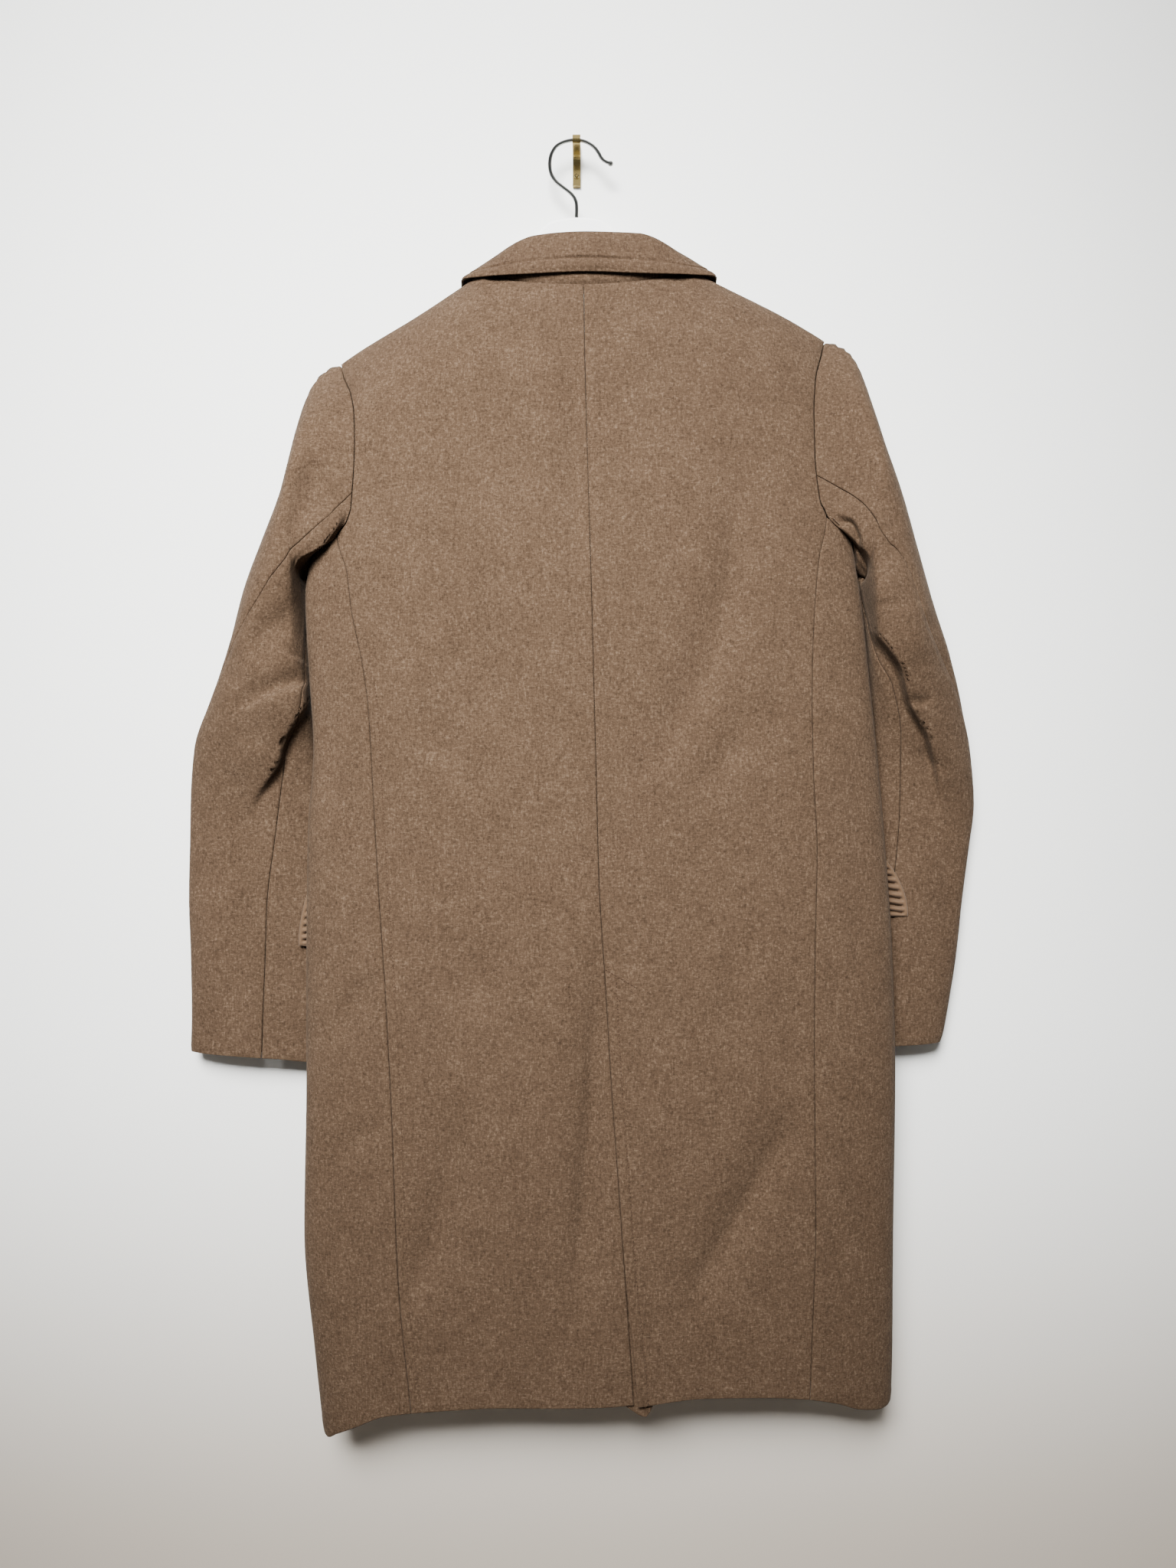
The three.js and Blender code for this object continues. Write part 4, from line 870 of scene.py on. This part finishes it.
# ---- Sleeves: each of a top and an under piece, set into the armhole and bent at the elbow ----
# The hind-arm seam shows from behind on the upper arm and the front seam on the forearm. The
# upper arm hangs over the forearm in deep folds.
SLEEVE_NAMES = ["at", "outer_x", "outer_z", "inner_x", "inner_z", "middle_y", "half_thick", "hind", "front"]
SLEEVES = {
    "left": table_of(
        SLEEVE_NAMES,
        [
            [0, -226, -200, -250, -396, -38, 30, 106.5, 205],
            [1, -244, -236, -254, -400, -40, 33, 119, 203],
            [2, -262, -280, -257, -406, -42, 36, 124, 200],
            [3, -276.5, -330, -257.5, -416, -43, 38, 114, 196],
            [4, -293, -372, -256.5, -434, -42, 39, 94, 188],
            [5, -311, -417, -255, -462, -40, 38, 74, 178],
            [6, -328, -475, -252.5, -500, -37, 35, 34, 160],
            [7, -347, -524, -249.5, -538, -32, 30, 6, 140],
            [8, -364, -567, -248, -572, -25, 23, -4, 122],
            [9, -369.5, -615, -245, -615, -20, 17.5, -10, 112],
            [10, -371, -660, -241, -660, -18.5, 15.5, -14, 104],
            [11, -372, -710, -239, -710, -18.5, 15.5, -16, 98],
            [12, -370, -766, -235, -766, -18.5, 15.5, -18, 94],
            [13, -369, -820, -231, -824, -18.5, 15.5, -20, 91],
            [14, -370, -858, -228, -867, -18.5, 15.5, -20, 90],
        ],
    ),
    "right": table_of(
        SLEEVE_NAMES,
        [
            [0, 238, -178, 262, -397, -38, 30, 109, 205],
            [1, 256, -204, 267, -401, -40, 33, 111, 203],
            [2, 275, -248, 271, -406, -42, 36, 109.5, 200],
            [3, 291, -290, 269.5, -414, -43, 38, 103, 196],
            [4, 305, -330, 271, -430, -42, 39, 92, 186],
            [5, 321, -384, 274, -456, -40, 38, 72, 172],
            [6, 337, -436, 276, -490, -37, 35, 62, 146],
            [7, 353, -480, 279, -520, -32, 30, 48, 122],
            [8, 367, -531, 281.5, -555, -25, 23, 18, 114],
            [9, 377, -577, 279, -590, -20, 17.5, -4, 112],
            [10, 381, -621, 271, -624, -18.5, 15.5, -12, 107],
            [11, 376, -664, 262, -664, -18.5, 15.5, -16, 102],
            [12, 370, -710, 250, -710, -18.5, 15.5, -18, 98],
            [13, 364, -766, 233, -766, -18.5, 15.5, -20, 94],
            [14, 352, -838, 210, -838, -18.5, 15.5, -20, 90],
            [15, 349, -849, 207, -855, -18.5, 15.5, -20, 90],
        ],
    ),
}
LAST_STATION = {"left": 14, "right": 15}
SLEEVE_LENGTH = 690
UNDER_WIDTH = 140
TOP_WIDTH = 190
SLEEVE_ROUND = 2.3
ARMHOLE_GAP = 0.2
ARMHOLE_BACK = 140  # turns of the side panel's two seams round the armhole
ARMHOLE_FRONT = 220
SLEEVE_OUT = 22
SLEEVE_DOWN = 6
UNDER_OUT = 9  # the same, under the arm
UNDER_DOWN = 10
SLEEVE_EDGE_TURN = 0.13

# Folds of the sleeves' backs: line of points, height, soft width (left of the run), steep width,
# groove at its foot, how far it hangs over, and the shares over which it fades in and out.
SLEEVE_CREASES = {
    "left": [
        # The elbow: the upper arm hangs over the forearm.
        ([(-322, -640), (-312, -625), (-302, -608), (-290, -592), (-282, -580), (-279, -566),
          (-272, -552), (-260, -535), (-249, -517), (-238, -497)], 11.5, 34, 4.6, 2, 4, 0.5, 0),
        ([(-226, -499), (-250, -504), (-261, -507), (-283, -516), (-310, -529), (-336, -543)],
         -9, 3.4, 12, 0, 0, 0.02, 0.8),
        ([(-240, -512), (-262, -516), (-285, -526), (-308, -540)], 3.5, 16, 7, 0, 0, 0.1, 0.6),
        # The roll beside the armhole, and the under-arm's edge.
        ([(-262, -446), (-259, -430), (-255, -416), (-250, -402), (-244, -391), (-234, -380), (-222, -365),
          (-212, -348)], 7, 22, 4.4, 1.6, 3, 0.4, 0.2),
        ([(-209, -338), (-223, -356), (-239, -372), (-251, -389), (-262, -412)], 4, 14, 14, 0, 0, 0.2, 0.3),
        ([(-262, -452), (-275, -453), (-286, -465), (-295, -478), (-303, -500)], -5, 14, 12, 0, 0, 0.1, 0.5),
        ([(-318, -470), (-322, -500), (-314, -520)], -2, 14, 12, 0, 0, 0.3, 0.4),
        ([(-300, -560), (-312, -580), (-330, -595)], 2.4, 12, 12, 0, 0, 0.3, 0.4),
        ([(-236, -262), (-248, -276), (-251, -290)], -2.5, 8, 8, 0, 0, 0.3, 0.3),
        ([(-246, -300), (-243, -320), (-250, -334)], -3, 9, 9, 0, 0, 0.3, 0.3),
        ([(-214, -318), (-232, -330), (-246, -346)], 1.6, 7, 5, 0, 0, 0.2, 0.3),
        ([(-350, -690), (-345, -760), (-350, -830)], 1.6, 16, 16, 0, 0, 0.3, 0.3),
        ([(-310, -690), (-318, -760), (-312, -830)], -2, 16, 16, 0, 0, 0.3, 0.3),
        ([(-340, -790), (-322, -815), (-300, -832)], -1.5, 12, 10, 0, 0, 0.3, 0.3),
    ],
    "right": [
        # The elbow, and the smaller creases in it.
        ([(244, -396), (254, -418), (263, -435), (278, -459), (294, -480), (304, -494), (308, -509),
          (313, -524), (322, -538), (333, -553), (340, -573), (345, -591), (348, -616), (346, -645)],
         12.5, 42, 4.8, 2.4, 4, 0.16, 0.3),
        ([(308, -524), (320, -524), (336, -523)], -3.4, 4.5, 4, 0, 0, 0.1, 0.5),
        ([(322, -566), (333, -577), (346, -588), (356, -596)], -3, 7, 5, 0, 0, 0.3, 0.5),
        # The lobe beside the armhole.
        ([(236, -349), (247, -353), (256, -355), (262, -364), (266, -376), (265, -388), (258, -400)],
         6, 18, 3, 2.5, 2.5, 0.3, 0.1),
        ([(244, -362), (252, -372), (256, -386)], 5, 8, 8, 0, 0, 0.2, 0.2),
        ([(264, -402), (272, -421), (270, -436)], 4, 16, 12, 0, 0, 0.3, 0.2),
        ([(322, -440), (337, -471), (346, -492), (352, -510)], -3.4, 6, 8, 0, 0, 0.3, 0.3),
        ([(300, -430), (312, -462), (322, -492)], 2.5, 12, 14, 0, 0, 0.3, 0.4),
        ([(268, -338), (284, -352), (294, -376)], -1.6, 9, 7, 0, 0, 0.3, 0.3),
        ([(330, -660), (322, -700), (316, -780)], 2, 16, 16, 0, 0, 0.3, 0.3),
        ([(290, -640), (287, -720), (280, -800)], -2, 16, 16, 0, 0, 0.3, 0.3),
        ([(350, -655), (356, -700), (350, -745)], -1.8, 12, 10, 0, 0, 0.3, 0.3),
    ],
}
INNER_LEAN = {"left": 9, "right": 6}  # the inner front of the upper sleeve leans to the body by this
LEAN_TURN = 222  # round this turn of its section, in degrees
LEAN_WIDTH = 26


def armhole_rim(side, turn):
    """The armhole's edge at a turn in degrees: down the back, under the arm and up the front."""
    wrapped = np.mod(turn, 360)
    under = np.clip((wrapped - ARMHOLE_BACK) / (ARMHOLE_FRONT - ARMHOLE_BACK), 0, 1)
    shoulder_z = side["shoulder"][1]
    back_z = lerp(shoulder_z, side["back_seam_top"], np.clip(wrapped / ARMHOLE_BACK, 0, 1))
    front_share = np.clip((360 - wrapped) / (360 - ARMHOLE_FRONT), 0, 1)
    front_z = lerp(shoulder_z, side["front_seam_top"], front_share)
    back_x, front_x = side["back_edge"](back_z), side["armhole_front"](front_z)
    back = np.stack([back_x, back_depth(back_x, back_z), back_z], -1)
    front = np.stack([front_x, front_depth(side["sign"], front_x, front_z), front_z], -1)
    bottom = side_face(side, under, np.ones(np.shape(under)))
    behind = (wrapped <= ARMHOLE_BACK)[..., None]
    before = (wrapped >= ARMHOLE_FRONT)[..., None]
    return np.where(behind, back, np.where(before, front, bottom))


def plain_sleeve(name, turn, at):
    """
    Outer face of a sleeve without folds: an oval section (0 outer edge, 90 back, 180 inner edge)
    at each station, blended into the armhole's rim over the first three.
    """
    rows, side = SLEEVES[name], SIDES[name]
    angle = np.radians(turn)
    out = np.sign(np.cos(angle)) * np.abs(np.cos(angle)) ** (2 / SLEEVE_ROUND)
    back = np.sign(np.sin(angle)) * np.abs(np.sin(angle)) ** (2 / SLEEVE_ROUND)
    x = (rows["outer_x"](at) * (1 + out) + rows["inner_x"](at) * (1 - out)) / 2
    z = (rows["outer_z"](at) * (1 + out) + rows["inner_z"](at) * (1 - out)) / 2
    y = rows["middle_y"](at) - rows["half_thick"](at) * back
    upper_arm = smoothstep(at, 1.5, 3.5) * (1 - smoothstep(at, 6, 9.5))
    lean = bell(np.mod(turn, 360), LEAN_TURN, LEAN_WIDTH) * upper_arm
    oval = np.stack([x - side["sign"] * INNER_LEAN[name] * lean, y, z], -1)
    joined = (1 - smoothstep(at, 0, 3))[..., None]
    rim = armhole_rim(side, turn)
    under = smoothstep(-np.cos(angle), 0.1, 0.85)
    rim[..., 0] += side["sign"] * (ARMHOLE_GAP + lerp(SLEEVE_OUT, UNDER_OUT, under) * at)
    rim[..., 2] += SEAM_GAP * np.maximum(0, -np.cos(angle)) - lerp(SLEEVE_DOWN, UNDER_DOWN, under) * at
    return lerp(oval, rim, joined)


def sleeve_face(name, turn, at):
    """Outer face of a sleeve with its folds, which stand out where the cloth faces backwards."""
    face = plain_sleeve(name, turn, at)
    round_it = plain_sleeve(name, turn + 1.5, at) - face
    down_it = plain_sleeve(name, turn, at + 0.03) - face
    normal = np.cross(down_it, round_it)
    facing = SIDES[name]["sign"] * normal[..., 1] / np.maximum(np.linalg.norm(normal, axis=-1), 1e-9)
    x, z = face[..., 0].copy(), face[..., 2].copy()
    shown = smoothstep(facing, 0, 0.6) * smoothstep(at, 0.03, 0.5)
    folds = slack(x * 1.3, z * 1.2) * 0.9
    for points, height, soft, steep, groove, reach, start, end in SLEEVE_CREASES[name]:
        folds = folds + crease(x, z, points, height, soft, steep, groove, start, end)
        if reach > 0:
            shift_x, shift_z = lean_over(x, z, points, reach, soft, steep, start, end)
            face[..., 0] += shift_x * shown
            face[..., 2] += shift_z * shown
    face[..., 1] -= folds * shown
    return face


def sleeve_piece(name, part, from_turn, to_turn, width, crown=None):
    """One piece of a sleeve between two seams, given as turns that change along the sleeve."""
    rows = SLEEVES[name]
    u, at = np.meshgrid(spread(width, 2.4), spread(SLEEVE_LENGTH, 2.4) * LAST_STATION[name])
    start, end = from_turn(at) + SLEEVE_EDGE_TURN, to_turn(at) - SLEEVE_EDGE_TURN
    middle = (start + end) / 2
    if crown is not None:
        middle = lerp(crown, middle, smoothstep(at, 0, 3))
    turn = np.where(u < 0.5, lerp(start, middle, 2 * u), lerp(middle, end, 2 * u - 1))
    face = sleeve_face(name, turn, at)
    centre_x = (rows["outer_x"](at) + rows["inner_x"](at)) / 2
    centre_z = (rows["outer_z"](at) + rows["inner_z"](at)) / 2
    centre = np.stack([centre_x, rows["middle_y"](at), centre_z], -1)
    make_cloth(f"{part}_sleeve_{name}", face, centre, OUT_AND_IN)


for name in SIDES:
    hind, front = SLEEVES[name]["hind"], SLEEVES[name]["front"]
    sleeve_piece(name, "under", hind, front, UNDER_WIDTH)
    sleeve_piece(name, "top", front, lambda at, hind=hind: hind(at) + 360, TOP_WIDTH, crown=360)

# ---- Collar: a stand sewn into the neck seam and a fall that turns down over it ----
# The fall is stitched round a little inside its edge, which puffs up the band below the stitches.
COLLAR = table_of(
    ["at", "seam_x", "seam_y", "seam_z", "fold_x", "fold_y", "fold_z", "edge_x", "edge_y", "edge_z"],
    [
        [-5, -66, -14, -170, -64, -6, -178, -103, -5, -192],
        [-4, -83, -22, -126, -79, -9, -122, -113, -5.5, -150],
        [-3.6, -84, -26, -119, -79, -18, -112.5, -111.8, -10.5, -132],
        [-3.3, -84.3, -28.5, -115.5, -79, -24, -106.5, -110.6, -22, -125.5],
        [-3, -84.5, -30.5, -112.6, -79, -30, -105.5, -109.5, -34, -123.8],
        [-2, -70, -41, -123.2, -68, -43, -99, -83, -50, -126],
        [-1, -36, -51.5, -132.8, -38, -53, -89, -42, -59, -127.5],
        [0, 8, -57.3, -136.5, 8, -57, -87, 8, -62.8, -127.5],
        [1, 54, -51.5, -131.7, 58, -53, -87, 60, -59, -127],
        [2, 90, -41, -121.2, 91, -43, -97.5, 107, -50, -124.5],
        [3, 104, -30.5, -110.6, 101, -30, -102, 133.5, -34, -121],
        [3.3, 103.5, -28.5, -113, 100.5, -24, -106, 134.3, -22, -122.3],
        [3.6, 103, -26, -117, 99.5, -18, -112, 134.8, -10.5, -129],
        [4, 102, -23, -124, 98, -10.5, -122, 135, -5.6, -148],
        [5, 86, -16, -168, 84, -6.3, -176, 123, -5.6, -190],
    ],
)
NECK_AXIS = np.array([10.0, -36.0])
COLLAR_CLOTH = 2.2
COLLAR_END = 5
STAND_END = 2.7
STAND_GAP = 2.4
STAND_TUCK = 2  # the stand's foot reaches this far behind the back's edge
STAND_DOWN = 3.4  # and this far below it
STAND_ROLL = 3.2  # above it the stand rolls out over the back's edge
FALL_BULGE = 4
FOLD_INWARDS = 5.5
FOLD_DOWN = 7.5
COLLAR_STITCH = 0.16  # share of the fall's height, from its edge, at which the stitches run
BAND_PUFF = 1.9
# The stitches' groove, the swelling above it and the seam by the edge: height, share and width.
BAND_LINES = [(-1.0, COLLAR_STITCH, 0.017), (0.8, COLLAR_STITCH + 0.035, 0.022), (-0.7, 0.034, 0.011)]


def collar_line(kind, at):
    """One of the collar's three lines: its neck seam, its fold or its edge."""
    return np.stack([COLLAR[f"{kind}_{axis}"](at) for axis in "xyz"], -1)


def towards_neck(at):
    """Level unit vector from the fold line to the neck's axis."""
    fold = collar_line("fold", at)
    way = np.stack([NECK_AXIS[0] - fold[..., 0], NECK_AXIS[1] - fold[..., 1], np.zeros(np.shape(at))], -1)
    return way / np.linalg.norm(way, axis=-1, keepdims=True)


def turned_in(at, inwards, down):
    """A point past the fold line, by shares of the fold's turn."""
    point = collar_line("fold", at) + towards_neck(at) * FOLD_INWARDS * inwards
    point[..., 2] -= FOLD_DOWN * down
    return point


def curve_through(route, t):
    """Centripetal Catmull-Rom curve through a list of point grids, at a share t of its pieces."""
    route = [2 * route[0] - route[1]] + route + [2 * route[-1] - route[-2]]
    last = len(route) - 4
    place = np.clip(t * (last + 1), 0, last + 0.999999)
    result = np.zeros(route[0].shape)
    for i in range(last + 1):
        a, b, c, d = route[i : i + 4]
        t1 = np.maximum(np.linalg.norm(b - a, axis=-1, keepdims=True) ** 0.5, 1e-6)
        t2 = t1 + np.maximum(np.linalg.norm(c - b, axis=-1, keepdims=True) ** 0.5, 1e-6)
        t3 = t2 + np.maximum(np.linalg.norm(d - c, axis=-1, keepdims=True) ** 0.5, 1e-6)
        s = lerp(t1, t2, (place - i)[..., None])
        bc = lerp(b, c, (s - t1) / (t2 - t1))
        before = lerp(lerp(a, b, s / t1), bc, s / t2)
        after = lerp(bc, lerp(c, d, (s - t2) / (t3 - t2)), (s - t1) / (t3 - t1))
        curve = lerp(before, after, (s - t1) / (t2 - t1))
        here = ((place >= i) & (place < i + 1))[..., None]
        result = np.where(here, curve, result)
    return result


def fall_face(at, v):
    """Outer face of the fall: from its edge (0) up over the fold line (0.5) and in to the stand (1)."""
    edge, fold = collar_line("edge", at), collar_line("fold", at)
    inward = towards_neck(at)
    belly = (edge + fold) / 2 - inward * FALL_BULGE
    face = curve_through([edge, belly, fold, turned_in(at, 0.85, 0.3), turned_in(at, 1, 1)], v)
    puff = BAND_PUFF * np.sin(np.pi * np.clip(v / COLLAR_STITCH, 0, 1)) ** 0.7
    for height, line, width in BAND_LINES:
        puff = puff + height * bell(v, line, width)
    return face - inward * puff[..., None]


at, v = np.meshgrid(lerp(-COLLAR_END, COLLAR_END, spread(430, 3)), spread(80, 0.8))
face = fall_face(at, v)
under_fold = (collar_line("seam", at) + np.array([0, 0, -20.0])) - (collar_line("fold", at) - face)
make_cloth("collar_fall", face, under_fold, (wool, wool), thick=COLLAR_CLOTH, ridge=0)

at, v = np.meshgrid(lerp(-STAND_END, STAND_END, spread(250, 3)), spread(38, 1.5))
upper = turned_in(at, 1, 1)
upper[..., 2] -= STAND_GAP
foot = collar_line("seam", at) + towards_neck(at) * STAND_TUCK
foot[..., 2] -= STAND_DOWN
roll = STAND_ROLL * smoothstep(v, 0.06, 0.2) * (1 - smoothstep(v, 0.35, 0.8))
face = lerp(foot, upper, v[..., None]) - towards_neck(at) * roll[..., None]
outside = face - towards_neck(at) * 10
make_cloth("collar_stand", face, outside, (wool, wool), thick=COLLAR_CLOTH, ridge=0)

# ---- Lapels: the fronts' upper edges, turned back on them ----
LAPEL_TOP = (-186, -226)
LAPEL_FOOT = {"left": BREAK_POINT_Z + 8, "right": -386}
lapel_width = smooth_curve([(0, 84), (0.15, 82), (0.43, 66), (0.73, 38), (1, 6)])
for name, side in SIDES.items():
    u, v = np.meshgrid(spread(70, 4), spread(270, 4))
    z = lerp(lerp(LAPEL_TOP[0], LAPEL_TOP[1], u), LAPEL_FOOT[name], v)
    x = front_edge(side, z) + side["sign"] * lerp(1, lapel_width(v), u)
    face = np.stack([x, front_depth(side["sign"], x, z) + CLOTH + LAY_GAP, z], -1)
    make_cloth(f"lapel_{name}", face, ROOMWARDS, (wool, wool))

# ---- Pocket flaps: sewn on the fronts; their free ends stand out past the sides ----
# They are lined with satin, and the lining, which is the side seen from behind, is gathered in
# small pleats inside a stitched band along the edge.

# Each flap: x of its sewn end, x of its free end's upper and lower corner, and its two heights.
FLAPS = {
    "left": (-118, -253, -263, -700, -755),
    "right": (160, 294, 314, -674, -727),
}
PLEAT_PITCH = 6.6


def gathers(from_edge, along):
    """Depth of the gathered lining: pits between pleats inside the raised band of the edge."""
    turn = 2 * np.pi * along / PLEAT_PITCH + 0.9 * np.sin(along / 9) + 0.12 * from_edge
    wave = 0.5 - 0.5 * np.cos(turn)
    inside = smoothstep(from_edge, 3.0, 4.8) * (1 - smoothstep(from_edge, 16, 44))
    band = 1 - smoothstep(from_edge, 2.8, 3.8)
    return inside * (5.2 * wave**1.6 - 1.3) - 0.9 * band


for name, (inner_x, upper_x, lower_x, upper_z, lower_z) in FLAPS.items():
    u, v = np.meshgrid(spread(145, 1.3), spread(55, 0.8))
    z = lerp(upper_z, lower_z, v)
    outer_x = lerp(upper_x, lower_x, 1 - (1 - v) ** 2)
    x = lerp(inner_x, outer_x, u)
    on_front = front_depth(SIDES[name]["sign"], x, z)
    depth = np.maximum(on_front, FOREARM_ROOM_Y) + CLOTH + LAY_GAP
    face = np.stack([x, depth, z], -1)
    shaped = face.copy()
    fade = smoothstep(np.minimum(z - lower_z, upper_z - z), 0, 4)
    shaped[..., 1] += gathers(np.abs(outer_x - x), upper_z - z) * fade - 1
    make_cloth(
        f"flap_{name}", shaped, WALLWARDS, (lining, wool),
    )

# ---- Buttons: three on the left front, of dark horn with a raised rim ----


def cover(material, *nodes):
    """Gives CAD nodes, which keep their shape, a material."""
    for node in nodes:
        bpy.data.objects[node].data.materials.clear()
        bpy.data.objects[node].data.materials.append(material)


horn, tree, shader = new_material("horn", Roughness=0.22)
streak_inputs = {"Vector": object_place(tree), "Scale": 160, "Detail": 4, "Distortion": 1.5}
streaks = add_node(tree, "ShaderNodeTexNoise", streak_inputs)
colour = colour_mix(tree, streaks.outputs["Fac"], (0.030, 0.016, 0.008, 1), (0.16, 0.085, 0.04, 1))
feed(tree, colour, shader.inputs["Base Color"])
cover(horn, "front_button_1", "front_button_2", "front_button_3")

# ---- Hanger: the white lacquered wood keeps its CAD shape ----
cover(new_material("white_lacquer", Roughness=0.38, Base_Color=(0.84, 0.84, 0.82, 1))[0], "hanger")

# ---- Hanger hook: bent steel wire with a ball end ----
STEEL_COLOUR = (0.24, 0.24, 0.23, 1)
STEEL_GLINT = (0.2, 0.2, 0.19, 1)
STEEL = {"Roughness": 0.32, "Metallic": 1.0, "Base_Color": STEEL_COLOUR, "Specular_Tint": STEEL_GLINT}
cover(new_material("polished_steel", **STEEL)[0], "hanger_hook")

# ---- Wall hook and its screw: polished brass ----
BRASS_COLOUR = (0.50, 0.38, 0.15, 1)
brass = new_material("polished_brass", Roughness=0.26, Metallic=1.0, Base_Color=BRASS_COLOUR)[0]
cover(brass, "wall_hook", "hook_screw")
